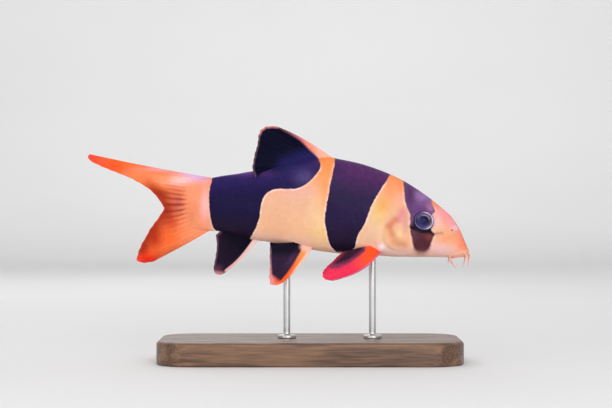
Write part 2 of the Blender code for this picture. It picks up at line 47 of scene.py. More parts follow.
# Each rib from the tail forwards: back (x, z), belly (x, z), half the width, the share of the depth below the
# widest place, and how square it is above and below that.
RIBS = (
    ((-42.4, 61.4), (-42.4, 46.2), 0.2, 0.5, 2, 2),
    ((-40, 62.1), (-40, 45.5), 1.05, 0.5, 2, 2),
    ((-36.9, 62.8), (-36.9, 44.9), 2.1, 0.5, 2, 2),
    ((-33.1, 63.5), (-33.1, 44.9), 3.1, 0.5, 2, 2),
    ((-26.2, 64.5), (-26.2, 43.7), 4.5, 0.48, 1.95, 2.1),
    ((-18.6, 65.8), (-18.6, 41.9), 5.9, 0.46, 1.9, 2.2),
    ((-10.3, 67.4), (-10.3, 40.4), 7, 0.44, 1.9, 2.3),
    ((-1.7, 69), (-1.7, 38.8), 7.9, 0.43, 1.9, 2.4),
    ((6.9, 70), (6.2, 37.6), 8.4, 0.42, 1.9, 2.5),
    ((14.5, 68.8), (13.8, 36.9), 8.5, 0.42, 1.9, 2.5),
    ((21.4, 66.9), (21, 36.5), 8.3, 0.41, 1.9, 2.5),
    ((27.6, 64.4), (27.3, 36.2), 7.9, 0.41, 1.9, 2.5),
    ((32.8, 61.9), (32.1, 36), 7.4, 0.4, 1.9, 2.5),
    ((37.3, 59.1), (35.9, 35.9), 6.8, 0.4, 1.9, 2.5),
    ((41.4, 56.1), (39.3, 35.9), 6.1, 0.4, 1.95, 2.5),
    ((45.2, 53.1), (42.6, 35.9), 5.4, 0.4, 2, 2.4),
    ((48.3, 50.4), (45.5, 35.9), 4.7, 0.41, 2, 2.3),
    ((50.5, 47.4), (48, 35.8), 4.1, 0.42, 2, 2.2),
    ((52.2, 44.2), (50.2, 35.7), 3.5, 0.44, 2, 2.1),
    ((53.6, 40.9), (52.1, 35.7), 2.8, 0.46, 2, 2),
    ((54.7, 38.4), (53.6, 35.9), 1.8, 0.5, 2, 2),
)
TAIL_END, SNOUT_END = (-42.8, 53.7), (54.9, 36.9)
SWING, SWING_FROM, SWING_TO = 3.5, 10, -40.4  # the spine swings towards +Y, to this much at the tail fin
AROUND = 320
RINGS = 600
HEAD_DENSITY = 2.2  # rings lie this many times closer on the head than on the tail
GILL_EDGE = ((34, 58), (31.6, 53), (29.6, 50.3), (27.1, 47.8), (25.4, 45.2), (25.1, 42.6), (26.4, 40.3),
             (29, 38.6), (33, 37.2))
CHEEK_EDGE = ((32.6, 51), (33.4, 47), (33, 43.1), (31.6, 40.2))
CHEEK_SLIT = ((34.3, 46.4), (35.7, 45.7), (37.8, 45.2), (40, 44.9), (41.3, 44.5), (42.6, 44),
              (43.8, 44.05), (45, 44.25))
SIDE_LINE = ((28.6, 54.2), (18, 53.6), (0, 53.4), (-40, 53.6))
SNOUT_FOLD = ((49.4, 37.4), (51.8, 38), (53.6, 39), (54.9, 39.8))
EYE_PLACE, EYE_OPENING = (38.8, 48.4), (3.42, 3.2)
NOSTRILS = ((48.7, 45.2, 0.3), (49.7, 45.9, 0.2))
NOSTRIL_FLAP = ((48.9, 46.1), (49.5, 45))  # between the two holes
MOUTH, MOUTH_REACH = (51, 0, 36.25), (2.5, 1.7, 1.7)
BREAST_FIN_SHOULDER = (24.2, 39.3)
# How far each detail is raised from the skin, or pressed into it.
GILL_LIFT, GILL_GROOVE, CHEEK_GROOVE, SHOULDER_LIFT, FIN_KEEL_LIFT = 0.34, 0.06, 0.1, 0.55, 0.3
EYE_RIM_LIFT, EYE_RIM_GROOVE, SOCKET_DEPTH = 0.26, 0.12, 2
SLIT_DEPTH, SLIT_LIP, SIDE_LINE_DEPTH, SNOUT_FOLD_DEPTH, MOUTH_DEPTH = 0.36, 0.12, 0.04, 0.14, 1.5
NOSTRIL_RIM, NOSTRIL_DEPTH, NOSTRIL_FLAP_LIFT = 0.2, 0.6, 0.4
MUSCLE_LIFT, MUSCLE_SPACING = 0.012, 2.5
# The dark bands as seen from the side, each with its front line and its rear line from the back downwards.
BANDS = {
    "over the eye": (
        ((42.6, 66), (41.5, 58), (41.8, 54.9), (42.6, 52.4), (42.8, 51.7), (41.9, 50.8), (41.2, 49),
         (41.2, 46), (41.8, 44.6), (42.5, 43.8), (42, 42.7), (41.4, 41), (41, 39.4), (40.2, 38),
         (38.8, 37.2)),
        ((32.4, 66), (32.1, 60), (32.3, 56.5), (32.6, 54.2), (33.4, 52), (34, 50.7), (34.1, 48.3),
         (34, 46.2), (34.4, 43.8), (34.9, 40.8), (35.8, 38.5), (37, 37.3)),
    ),
    "over the shoulders": (
        ((33, 74), (27.9, 65.1), (24.9, 60.3), (22.2, 56.2), (20.1, 51.8), (18.2, 47), (16.1, 43),
         (14.9, 38.9), (13.2, 37.6)),
        ((8.9, 74), (8.3, 67.5), (7, 61.6), (5.8, 54.8), (5, 48.6), (5.7, 44.4), (6.9, 40.3),
         (9, 37.8)),
    ),
    "before the tail": (
        ((-14, 82.5), (-9.2, 79.4), (-3.4, 76), (0.2, 72.5), (2.9, 69.7), (3.6, 67.6), (2, 64.2),
         (-1.4, 60.9), (-5.2, 59.4), (-10.3, 59.4), (-13.6, 58.7), (-15.8, 56.6), (-16.8, 53.3),
         (-17.5, 49), (-18.7, 45.9), (-20.6, 42.4), (-23, 38)),
        ((-33, 82.5), (-33.3, 64.8), (-34.5, 60.2), (-34.8, 55), (-34.3, 49.2), (-33.2, 45.9),
         (-31.2, 43.6), (-30, 38)),
    ),
}
PALE_RIM = (0.97, 0.7, 0.62)
BELLY, LOW_FLANK, FLANK, BACK = (0.95, 0.58, 0.46), (0.9, 0.5, 0.28), (0.8, 0.45, 0.28), (0.92, 0.26, 0.07)
# Towards the back the dark bands turn violet and navy, and the band over the eye turns purple above the eye:
# this is painted sheen from the light above, laid into the bands' dark colour.
DARK_NAPE_SHEEN, DARK_RUMP_SHEEN = (0.088, 0.023, 0.112), (0.023, 0.011, 0.1)
DARK_SHOULDER, DARK_FLANK, DARK_BELLY = (0.015, 0.005, 0.046), (0.006, 0.002, 0.04), (0.012, 0.005, 0.022)
EYE_BAND_TOP_SHEEN, EYE_BAND_LOW = (0.13, 0.053, 0.175), (0.085, 0.018, 0.03)
# Painted shade, laid into the skin's colours in the cheek slits, along the gill edge, round the eye, in the
# nostrils and in the mouth.
CREASE_SHADE, DEEP_CREASE_SHADE = (0.1, 0.018, 0.012), (0.006, 0.003, 0.005)  # in the slits and round the eye
FLESH_SPREAD = (1, 0.35, 0.2)  # how far red, green and blue light spread under the skin
# Soft patches of other colour: place (x, z), reach along and up, colour, and how strongly it covers.
BLUSHES_AND_GLINT = (
    ((3.4, 48.5), (3.6, 8.5), (0.88, 0.63, 0.35), 0.75),
    ((3.6, 43.4), (3, 3.4), (0.9, 0.58, 0.22), 0.6),
    ((-4.2, 58.6), (6.5, 2.6), (0.82, 0.43, 0.38), 0.6),
    ((-11, 48), (5, 6), (0.82, 0.42, 0.27), 0.6),
    ((5.6, 62), (3.2, 11), (0.92, 0.31, 0.09), 0.8),
    ((22.6, 50.4), (3.2, 6), (0.83, 0.55, 0.27), 0.9),
    ((23.6, 50.4), (1.8, 3.6), (0.84, 0.54, 0.17), 0.6),
    ((24.8, 53.8), (2.5, 2.9), (0.86, 0.38, 0.09), 0.85),
    ((28.4, 59.8), (4, 3.8), (0.97, 0.33, 0.14), 0.9),
    ((30.8, 55.6), (1.9, 2.6), (0.88, 0.42, 0.3), 0.8),
    ((32.4, 48.4), (1.2, 4), (0.74, 0.32, 0.28), 0.85),
    ((21.2, 43.4), (4.6, 4.2), (0.8, 0.52, 0.35), 0.85),
    ((21, 40), (2.6, 1.5), (0.9, 0.43, 0.36), 0.7),
    ((24.2, 43.4), (1.2, 2.6), (0.92, 0.6, 0.38), 0.8),
    ((30.1, 46.8), (1, 0.9), (0.8, 0.52, 0.3), 0.6),
    # A painted highlight: a pale glint on the gill cover.
    ((30.4, 43.9), (1, 1.3), (0.9, 0.68, 0.34), 0.85),
    ((24.5, 39.5), (1.2, 1.1), (0.98, 0.84, 0.96), 0.95),
    ((29, 37.6), (5.5, 1.5), (0.97, 0.66, 0.6), 0.8),
    ((44.8, 38.8), (5.5, 2.4), (0.88, 0.54, 0.56), 0.85),
    ((43.6, 49), (1.8, 3), (0.94, 0.55, 0.52), 0.85),
    ((46.4, 51.4), (3.2, 2.6), (0.99, 0.33, 0.4), 0.9),
    ((48.6, 48), (2.2, 1.8), (1, 0.37, 0.5), 0.75),
    ((47.6, 42.6), (4, 2.4), (0.9, 0.34, 0.16), 0.85),
    ((52.4, 40.8), (2.4, 4.2), (0.93, 0.24, 0.12), 0.9),
    ((51.6, 44.4), (1.3, 1.8), (0.84, 0.28, 0.27), 0.6),
    ((50.8, 37.4), (2.6, 1), (0.96, 0.54, 0.42), 0.7),
    ((37.7, 37.4), (2.2, 1), (0.55, 0.26, 0.21), 0.6),
    ((49.6, 45.9), (1.1, 0.9), (1, 0.64, 0.8), 0.95),
)
# The folds of the gill cover, each a line in the side view with its reach, its colour and its strength.
STREAKS = (
    (((31.4, 51.6), (30.7, 50), (30.2, 48.8)), 1.2, (0.79, 0.23, 0.28), 0.75),
    (((29, 48.9), (27.8, 47.6), (26.9, 46.6)), 1.1, (0.7, 0.21, 0.11), 0.85),
    (((26.9, 46.6), (27.4, 45), (28, 43.8)), 1.1, (0.7, 0.22, 0.13), 0.8),
    (((26.2, 45.4), (26, 43.6), (26.6, 42.4)), 0.9, (0.82, 0.42, 0.2), 0.5),
    (((28.8, 41.6), (30.4, 40.8), (32, 40.4)), 1.5, (0.7, 0.28, 0.15), 0.75),
)
# Soft patches over the dark bands, laid out like the patches above. The dark ones are the bands' own tint; the
# violet ones along the top of the last band, on its front bulge and at the top of the band over the eye are
# painted sheen.
DARK_TINTS_AND_SHEEN = (
    ((-22, 65.6), (9, 1.6), (0.125, 0.038, 0.22), 0.9),
    ((-6, 67.4), (7, 2.4), (0.02, 0.015, 0.1), 0.8),
    ((-11.5, 66), (4.5, 1.5), (0.01, 0.008, 0.05), 0.8),
    ((-2, 63.4), (3.2, 2.6), (0.085, 0.058, 0.19), 0.8),
    ((38.8, 57), (3.2, 2.2), (0.34, 0.18, 0.41), 0.85),
    ((41.4, 53.2), (1.6, 1.8), (0.44, 0.17, 0.34), 0.8),
    ((34.2, 57.2), (1.6, 3), (0.065, 0.018, 0.075), 0.8),
    ((34.4, 49), (0.6, 2), (0.19, 0.065, 0.115), 0.75),
    ((35.4, 43.6), (1.2, 1.8), (0.13, 0.042, 0.075), 0.8),
    ((40.6, 42.9), (1.2, 1.2), (0.19, 0.04, 0.038), 0.8),
    ((37.8, 37.5), (2.4, 1), (0.33, 0.14, 0.115), 0.8),
)
# Behind the last band the skin takes the tail's own colours, a ground tint under soft patches. They run on
# over the tail fin.
TAIL_ROOT_TINT = (0.95, 0.3, 0.14)
TAIL_BLUSHES = (
    ((-36.2, 54), (1.9, 5.6), (0.96, 0.5, 0.48), 0.95),
    ((-39.5, 64), (6, 2), (0.68, 0.46, 0.8), 1),
    ((-41.8, 50), (1.8, 4), (0.76, 0.23, 0.11), 0.6),
    ((-41, 57), (2.2, 3.4), (0.97, 0.35, 0.19), 0.7),
    ((-46, 54.5), (2.2, 4.2), (0.56, 0.12, 0.09), 0.85),
    ((-48.4, 47.8), (2.4, 2.4), (0.56, 0.045, 0.018), 0.8),
    ((-49.6, 50.5), (3, 5.5), (0.55, 0.055, 0.02), 0.85),
    ((-52.4, 57.4), (4.2, 2.2), (0.34, 0.03, 0.01), 0.9),
    ((-47.6, 59.6), (1.8, 1.2), (0.74, 0.19, 0.08), 0.6),
    ((-45.5, 62.3), (4.6, 1.6), (0.97, 0.64, 0.6), 0.9),
    ((-52.5, 62.8), (5, 1.8), (0.97, 0.36, 0.18), 0.75),
    ((-50, 66.3), (10, 0.9), (0.9, 0.44, 0.55), 0.75),
    ((-60, 64.6), (7, 2), (0.99, 0.28, 0.12), 0.8),
    ((-68.5, 67), (5.5, 2.8), (0.97, 0.09, 0.015), 0.85),
    ((-77.5, 70.2), (7, 4.5), (0.9, 0.065, 0.045), 0.95),
    ((-49, 42), (4.4, 4.4), (0.96, 0.15, 0.03), 0.85),
    ((-54.2, 42.4), (3, 4.6), (0.5, 0.024, 0.01), 0.9),
    ((-58.4, 38.6), (2, 3), (0.36, 0.01, 0.018), 0.8),
    ((-57.2, 34.6), (5.2, 2.9), (0.99, 0.016, 0.005), 0.95),
    ((-60.2, 34.4), (2, 1.4), (0.97, 0.05, 0.045), 0.8),
)


def batten(points):
    """A smooth curve through the points, as a function of the share of the way along them, from 0 to 1."""
    points = np.asarray(points, float)
    knots = np.append(0, np.cumsum(np.linalg.norm(np.diff(points, axis=0), axis=1)))
    knots /= knots[-1]
    step = np.diff(knots)[:, None]
    slope = np.diff(points, axis=0) / step
    system = np.eye(len(points))
    right = np.zeros_like(points)
    for i in range(1, len(points) - 1):
        before, after = step[i - 1, 0], step[i, 0]
        system[i, i - 1 : i + 2] = before, 2 * (before + after), after
        right[i] = 6 * (slope[i] - slope[i - 1])
    curve = np.linalg.solve(system, right)

    def at(share):
        share = np.atleast_1d(share)
        i = np.clip(np.searchsorted(knots, share, side="right") - 1, 0, len(points) - 2)
        h = step[i]
        a = (knots[i + 1] - share)[:, None] / h
        b = 1 - a
        bulge = ((a**3 - a) * curve[i] + (b**3 - b) * curve[i + 1]) * h * h / 6
        return a * points[i] + b * points[i + 1] + bulge

    return at


def drawn(line, count):
    """So many points along the smooth curve through a line's points."""
    return batten(line)(np.linspace(0, 1, count))


def swing(x):
    """How far the spine has swung towards +Y at x."""
    share = np.maximum(SWING_FROM - np.asarray(x, float), 0) / (SWING_FROM - SWING_TO)
    return SWING * np.where(share < 1, share**2, 2 * share - 1)


def ramp(value, low, high):
    """0 up to low, 1 from high on, and smooth between them."""
    share = np.clip((value - low) / (high - low), 0, 1)
    return share * share * (3 - 2 * share)


def near(distance, reach):
    """1 where the distance is nothing, fading out past the reach."""
    return np.exp(-((distance / reach) ** 2))


def distance_to(line, x, z):
    """How far each place of the side view lies from a line of points."""
    nearest = np.full(np.shape(x), 1e9)
    for (ax, az), (bx, bz) in zip(line[:-1], line[1:]):
        along = ((x - ax) * (bx - ax) + (z - az) * (bz - az)) / ((bx - ax) ** 2 + (bz - az) ** 2)
        along = np.clip(along, 0, 1)
        nearest = np.minimum(nearest, np.hypot(x - ax - along * (bx - ax), z - az - along * (bz - az)))
    return nearest


def depth_in(outline, x, z):
    """How far each place of the side view lies inside a closed outline, with a minus outside it."""
    closed = [*outline, outline[0]]
    inside = np.zeros(np.shape(x), bool)
    for (ax, az), (bx, bz) in zip(closed[:-1], closed[1:]):
        if az != bz:
            inside ^= ((az > z) != (bz > z)) & (x < ax + (z - az) * (bx - ax) / (bz - az))
    return np.where(inside, 1, -1) * distance_to(closed, x, z)


def blended(first, second, share):
    """Two colours mixed by a share at each point."""
    share = np.asarray(share)[..., None]
    return np.asarray(first) * (1 - share) + np.asarray(second) * share


def layered(tint, *coats):
    """A tint with coats laid over it in turn, each a colour and its share at each point."""
    for colour, share in coats:
        tint = blended(tint, colour, share)
    return tint


def spot(x, z, place, reach):
    """1 at a place of the side view, fading out past its reach along and up."""
    return np.exp(-(((x - place[0]) / reach[0]) ** 2) - ((z - place[1]) / reach[1]) ** 2)


def blushed(tint, blushes, x, z):
    """A tint with soft patches of other colour laid over it."""
    coats = [(colour, strength * spot(x, z, place, reach)) for place, reach, colour, strength in blushes]
    return layered(tint, *coats)


def outwards_from(points, wraps):
    """The direction square to a grid of points at each of them. wraps: the second way closes on itself."""
    first = np.gradient(points, axis=0)
    if wraps:
        second = np.roll(points, -1, axis=1) - np.roll(points, 1, axis=1)
    else:
        second = np.gradient(points, axis=1)
    normal = np.cross(first, second)
    return normal / np.maximum(np.linalg.norm(normal, axis=-1, keepdims=True), 1e-9)


def piece(name, points, faces, material, **kept_there):
    """A smooth mesh from points in millimetres, with numbers, a tint and a dark colour kept at each point."""
    mesh = bpy.data.meshes.new(name)
    mesh.from_pydata((np.asarray(points).reshape(-1, 3) * MM).tolist(), [], faces)
    mesh.shade_smooth()
    for word, values in kept_there.items():
        kind, field = "FLOAT", "value"
        if word in ("tint", "dark"):
            kind, field = "FLOAT_COLOR", "color"
            values = np.insert(np.reshape(values, (-1, 3)), 3, 1, axis=1)
        values = np.ravel(values).astype(np.float32)
        mesh.attributes.new(word, kind, "POINT").data.foreach_set(field, values)
    mesh.materials.append(material)
    made = bpy.data.objects.new(name, mesh)
    bpy.context.scene.collection.objects.link(made)
    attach(made, "root")
    return made


def grid_faces(rows, columns, wraps):
    """The four-sided faces between the points of a grid."""
    i = np.arange(rows - 1)[:, None]
    j = np.arange(columns if wraps else columns - 1)[None]
    after = (j + 1) % columns
    corners = [i * columns + j, i * columns + after, (i + 1) * columns + after, (i + 1) * columns + j]
    return np.stack(corners, axis=-1).reshape(-1, 4).tolist()


def closed_faces(rows, columns):
    """The faces of a grid that wraps round, with a fan at each end to the two points that follow it."""
    last, tip = (rows - 1) * columns, rows * columns
    ring = [(i, (i + 1) % columns) for i in range(columns)]
    fans = [(b, a, tip) for a, b in ring] + [(last + a, last + b, tip + 1) for a, b in ring]
    return grid_faces(rows, columns, wraps=True) + fans


def node(tree, kind, inputs=None, **settings):
    """A shader node with these settings. An input is given as a number, a colour or another node's output."""
    made = tree.nodes.new("ShaderNode" + kind)
    for word, value in settings.items():
        setattr(made, word, value)
    for word, value in (inputs or {}).items():
        if isinstance(value, bpy.types.NodeSocket):
            tree.links.new(value, made.inputs[word])
        else:
            made.inputs[word].default_value = value
    return made


def kept(tree, word):
    """A number that the mesh keeps at each point."""
    return node(tree, "Attribute", attribute_name=word).outputs["Fac"]


def kept_tint(tree, word="tint"):
    """A colour that the mesh keeps at each point."""
    return node(tree, "Attribute", attribute_name=word).outputs["Color"]


def noise(tree, scale, detail=3, stretch=(1, 1, 1)):
    """Fine unevenness with this many waves to the metre."""
    place = node(tree, "TexCoord").outputs["Object"]
    if stretch != (1, 1, 1):
        place = node(tree, "Mapping", {"Vector": place, "Scale": stretch}).outputs["Vector"]
    return node(tree, "TexNoise", {"Vector": place, "Scale": scale, "Detail": detail}).outputs["Fac"]


def ranged(tree, value, low, high, to_low=0, to_high=1):
    """A number moved from one range to another, with soft ends."""
    words = {"Value": value, "From Min": low, "From Max": high, "To Min": to_low, "To Max": to_high}
    return node(tree, "MapRange", words, interpolation_type="SMOOTHSTEP").outputs["Result"]


def varied(tree, scale, detail, low, high):
    """Fine unevenness between a low and a high number."""
    return ranged(tree, noise(tree, scale, detail), 0.3, 0.7, low, high)


def maths(tree, operation, *values):
    """One step of arithmetic in the shader."""
    return node(tree, "Math", dict(enumerate(values)), operation=operation).outputs[0]


def times(tree, first, second):
    """Two numbers multiplied in the shader."""
    return maths(tree, "MULTIPLY", first, second)


def plus(tree, first, second):
    """Two numbers added in the shader."""
    return maths(tree, "ADD", first, second)


def shaded(tree, tint, shade):
    """A colour multiplied by a number in the shader."""
    return node(tree, "VectorMath", {0: tint, "Scale": shade}, operation="SCALE").outputs[0]


def mixed(tree, share, first, second):
    """Two colours mixed in the shader."""
    return node(tree, "Mix", {0: share, 6: first, 7: second}, data_type="RGBA").outputs[2]


def finish_of(name, **settings):
    """A new material with plain settings on its shader, its node tree and that shader."""
    made = bpy.data.materials.new(name)
    made.use_nodes = True
    shader = made.node_tree.nodes["Principled BSDF"]
    for word, value in settings.items():
        shader.inputs[word.replace("_", " ")].default_value = value
    return made, made.node_tree, shader


def surfaced(tree, shader, colour, roughness, height, depth, strength):
    """Gives a surface its colour, its roughness and this fine relief, as deep as depth in metres."""
    bump = node(tree, "Bump", {"Height": height, "Distance": depth, "Strength": strength})
    tree.links.new(colour, shader.inputs["Base Color"])
    tree.links.new(roughness, shader.inputs["Roughness"])
    tree.links.new(bump.outputs["Normal"], shader.inputs["Normal"])


def skin_material():
    """Living skin: soft colour under a thin wet gloss, bands with a pale rim, and a fine scaly grain."""
    made, tree, shader = finish_of(
        "skin", Specular_IOR_Level=0.1, Coat_Weight=0.04, Coat_Roughness=0.2, Subsurface_Weight=0.08,
        Subsurface_Scale=0.0006, Subsurface_Radius=FLESH_SPREAD,
    )
    wander = times(tree, plus(tree, noise(tree, 1500, 4), -0.5), 0.4)
    sway = times(tree, plus(tree, noise(tree, 520, 2), -0.5), 0.55)
    band = plus(tree, plus(tree, kept(tree, "band"), wander), sway)
    place = node(tree, "TexCoord").outputs["Object"]
    scales = node(tree, "TexVoronoi", {"Vector": place, "Scale": 2600}, feature="SMOOTH_F1")
    scales = scales.outputs["Distance"]
    shade = times(tree, varied(tree, 420, 5, 0.97, 1.03), varied(tree, 3000, 2, 0.985, 1.015))
    shade = times(tree, shade, ranged(tree, scales, 0.1, 0.7, 1.02, 0.965))
    beside = times(tree, ranged(tree, band, -0.95, -0.25), kept(tree, "rim"))
    beside = times(tree, beside, ranged(tree, noise(tree, 480, 4), 0.36, 0.66, 0.25, 1))
    flesh = mixed(tree, beside, shaded(tree, kept_tint(tree), shade), (*PALE_RIM, 1))
    dark = shaded(tree, kept_tint(tree, "dark"), varied(tree, 700, 5, 0.88, 1.14))
    soft = kept(tree, "soft")
    colour = mixed(tree, ranged(tree, band, times(tree, soft, -1), soft), flesh, dark)
    height = plus(tree, times(tree, scales, 0.6), noise(tree, 800, 4))
    surfaced(tree, shader, colour, varied(tree, 900, 4, 0.42, 0.56), height, 0.00006, 0.5)
    return made


rib_curve = batten([(*back, *belly, *rest) for back, belly, *rest in RIBS])


def depth_in_band(word, x, z):
    """How far each place of the side view lies inside one of the dark bands."""
    front, rear = BANDS[word]
    return depth_in([*drawn(front, 60), *drawn(rear, 60)[::-1]], x, z)


fine = np.linspace(0, 1, 2001)
closeness = 1 + (HEAD_DENSITY - 1) * ramp(rib_curve(fine)[:, 0], 12, 34)
gone = np.append(0, np.cumsum((closeness[1:] + closeness[:-1]) / 2))
rib = rib_curve(np.interp(np.linspace(0, 1, RINGS), gone / gone[-1], fine))
back, belly = rib[:, None, 0:2], rib[:, None, 2:4]
half_width, level, above, below = (rib[:, i, None] for i in range(4, 8))
angle = np.linspace(0, 2 * np.pi, AROUND, endpoint=False)[None]
upper = np.cos(angle) >= 0
power = 2 / np.where(upper, above, below)
across = half_width * np.sign(np.sin(angle)) * np.abs(np.sin(angle)) ** power
rise = np.abs(np.cos(angle)) ** power
height = level + np.where(upper, (1 - level) * rise, -level * rise)
place = belly + (back - belly) * height[..., None]
x, z = place[..., 0], place[..., 1]
points = np.stack([x, across, z], axis=-1)
outwards = outwards_from(points, wraps=True)

gill = depth_in([*drawn(GILL_EDGE, 48), (80, 20), (80, 80)], x, z)
gill_share = ramp(-z, -55.5, -50.5) * ramp(z, 37.4, 39.4)
slit, cheek = distance_to(drawn(CHEEK_SLIT, 24), x, z), distance_to(drawn(CHEEK_EDGE, 16), x, z)
side_line, snout_fold = distance_to(drawn(SIDE_LINE, 24), x, z), distance_to(drawn(SNOUT_FOLD, 12), x, z)
eye = np.hypot((x - EYE_PLACE[0]) / EYE_OPENING[0], (z - EYE_PLACE[1]) / EYE_OPENING[1])
mouth = np.linalg.norm((points - MOUTH) / MOUTH_REACH, axis=-1)
relief = gill_share * GILL_LIFT * np.exp(-np.maximum(gill, 0) / 3.6) * ramp(gill, -0.8, 0.6)
relief -= gill_share * GILL_GROOVE * near(gill + 0.6, 0.5)
relief -= CHEEK_GROOVE * near(cheek, 0.4) * (eye > 1.2)
relief += EYE_RIM_LIFT * near(eye - 1.13, 0.085) - EYE_RIM_GROOVE * near(eye - 1.34, 0.09)
relief -= SOCKET_DEPTH * ramp(1.03 - eye, 0, 0.22)
relief -= SLIT_DEPTH * near(slit, 0.22) - SLIT_LIP * near(slit - 0.55, 0.25)
relief -= SIDE_LINE_DEPTH * near(side_line, 0.22) * ramp(x, -40, -20)
relief -= SNOUT_FOLD_DEPTH * near(snout_fold, 0.25)
for at_x, at_z, radius in NOSTRILS:
    hole = np.hypot(x - at_x, z - at_z)
    relief += NOSTRIL_RIM * near(hole - 1.7 * radius, 0.16) - NOSTRIL_DEPTH * near(hole, radius)
relief += NOSTRIL_FLAP_LIFT * near(distance_to(NOSTRIL_FLAP, x, z), 0.2)
relief -= MOUTH_DEPTH * ramp(1 - mouth, 0, 0.7)
blocks = x + 2.4 * np.abs(np.abs(height - 0.47) * 4 - 1)  # muscle, in blocks that are folded like a W
blocks = np.sin(2 * np.pi * blocks / MUSCLE_SPACING) * ramp(-x, -24, -16)
relief += MUSCLE_LIFT * blocks * ramp(height, 0.06, 0.2) * ramp(-height, -0.95, -0.8)
relief += 0.05 * np.sin(x / 2.9 + 1.1) * np.sin(z / 3.7 + 0.4) + 0.03 * np.sin(x / 1.3 + z / 2.1)
relief += SHOULDER_LIFT * spot(x, z, BREAST_FIN_SHOULDER, (1.7, 1.4))
keel = FIN_KEEL_LIFT * near(across, 0.9)  # under the roots of the back fin and the fin behind the vent
relief += keel * ramp(height, 0.7, 0.9) * ramp(x, -16, -13) * ramp(-x, -10, -7)
relief += keel * ramp(-height, -0.3, -0.1) * ramp(x, -29, -26) * ramp(-x, 15.5, 18)

points = points + outwards * relief[..., None]
points[..., 1] += swing(points[..., 0])

bands = {word: depth_in_band(word, x, z) for word in BANDS}
band = np.maximum.reduce(list(bands.values()))
over_eye = ramp(bands["over the eye"], -3, -2)
tint = layered(
    BELLY, (LOW_FLANK, ramp(height, 0, 0.22)), (FLANK, ramp(height, 0.2, 0.55)),
    (BACK, ramp(height, 0.55, 1)),
)
# Soft patches of the skin's own colour, with one painted highlight on the gill cover.
tint = blushed(tint, BLUSHES_AND_GLINT, x, z)
for line, reach, colour, strength in STREAKS:
    tint = blended(tint, colour, strength * near(distance_to(drawn(line, 12), x, z), reach))
tint = blended(tint, blushed(TAIL_ROOT_TINT, TAIL_BLUSHES, x, z), ramp(-x, 33, 35.8))
# The dark bands, darkest low down; the violet and navy towards the back is painted sheen.
dark = layered(
    DARK_BELLY, (blended(DARK_FLANK, DARK_SHOULDER, ramp(x, -4, 8)), ramp(height, 0.05, 0.45)),
    (blended(DARK_RUMP_SHEEN, DARK_NAPE_SHEEN, ramp(x, -4, 16)), ramp(height, 0.58, 1)),
    (blended(EYE_BAND_LOW, EYE_BAND_TOP_SHEEN, ramp(z, 44, 49)), over_eye),
)
# Patches of the bands' own tint, and patches of painted sheen.
dark = blushed(dark, DARK_TINTS_AND_SHEEN, x, z)
# Painted shade in the cheek slit, along the gill edge, round the eye and deepest below and behind it, in the
# nostrils and in the mouth.
painted_shade = near(slit, 0.55) * (0.95 - 0.35 * ramp(x, 41, 42.2) - 0.35 * ramp(x, 42.6, 43.6))
painted_shade += 0.05 * gill_share * near(gill + 0.3, 0.5)
below = ramp(-z, -49, -46.6) * ramp(-x, -42.2, -40.8)
painted_shade += (0.2 + 0.7 * np.maximum(below, ramp(-x, -37.2, -35.6))) * ramp(1.12 - eye, 0, 0.1)
painted_shade += 0.8 * near(eye - 1.16, 0.1) * below
for at_x, at_z, radius in NOSTRILS:
    painted_shade = np.maximum(painted_shade, 0.8 * near(np.hypot(x - at_x, z - at_z), 0.8 * radius))
painted_shade = np.clip(painted_shade + ramp(1 - mouth, 0, 0.4), 0, 0.92)
tint, dark = blended(tint, CREASE_SHADE, painted_shade), blended(dark, DEEP_CREASE_SHADE, painted_shade)
soft = 0.16 + over_eye * (0.1 + 0.2 * ramp(-z, -44, -42) + 0.75 * ramp(-z, -40.5, -37))
rim = (0.8 - 0.25 * over_eye - 0.6 * ramp(-x, 32, 34.5)) * ramp(-height, -0.99, -0.85)

flat = points.reshape(-1, 3)
ends = [(TAIL_END[0], float(swing(TAIL_END[0])), TAIL_END[1]), (SNOUT_END[0], 0, SNOUT_END[1])]


def with_ends(values):
    rest = values.shape[2:]
    return np.concatenate([values.reshape(-1, *rest), [values[0].mean(axis=0), values[-1].mean(axis=0)]])


made = piece(
    "skin", [*flat, *ends], closed_faces(RINGS, AROUND), skin_material(), band=with_ends(band),
    rim=with_ends(rim), soft=with_ends(soft), tint=with_ends(tint), dark=with_ends(dark),
)
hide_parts("head", "trunk", "tail", "gill_cover_right", "gill_cover_left")

# The lips and the feelers. A soft ring of flesh stands round the down-turned mouth, thickest in front, and
# eight slim feelers hang about it, in pairs. All of it is bare pink skin without scales.
LIP_RADII, LIP_THICKNESS = (2.6, 1.8), 0.6
LIP_PLANE = np.array(((0.993, 0, 0.12), (0, 1, 0)))  # the way it reaches fore and aft, and across
# The lips darken towards the mouth: painted shade at the mouth's edge.
LIP_TINT, LIP_SHADE = (0.86, 0.36, 0.26), (0.62, 0.16, 0.12)
BARBELS = {
    "inner_snout": (((53.7, -0.8, 37.7), (54.8, -1, 36.6), (54.7, -1.4, 34.9), (54.6, -1.9, 32.9)), 0.34),
    "outer_snout": (((52.5, -1.9, 37.8), (53.5, -2.9, 36.7), (53.6, -3.5, 34.8), (53, -4.1, 32.6)), 0.34),
    "mouth_corner": (
        ((48.9, -1.5, 37.2), (47.9, -2.6, 35.9), (48.6, -3.4, 34.8), (49.4, -4, 33.6), (50.6, -4.4, 32.1)),
        0.36,
    ),
    "chin": (((48.3, -0.9, 36.6), (47.9, -1.2, 35.2), (47.6, -1.6, 33.7)), 0.3),
}
BARBEL_ROOT, BARBEL_TIP = (0.86, 0.42, 0.32), (0.88, 0.66, 0.62)
LIP_STEPS, LIP_SIDES = 96, 20
BARBEL_STEPS, BARBEL_SIDES = 60, 14
SIDES = ((1, "right"), (-1, "left"))


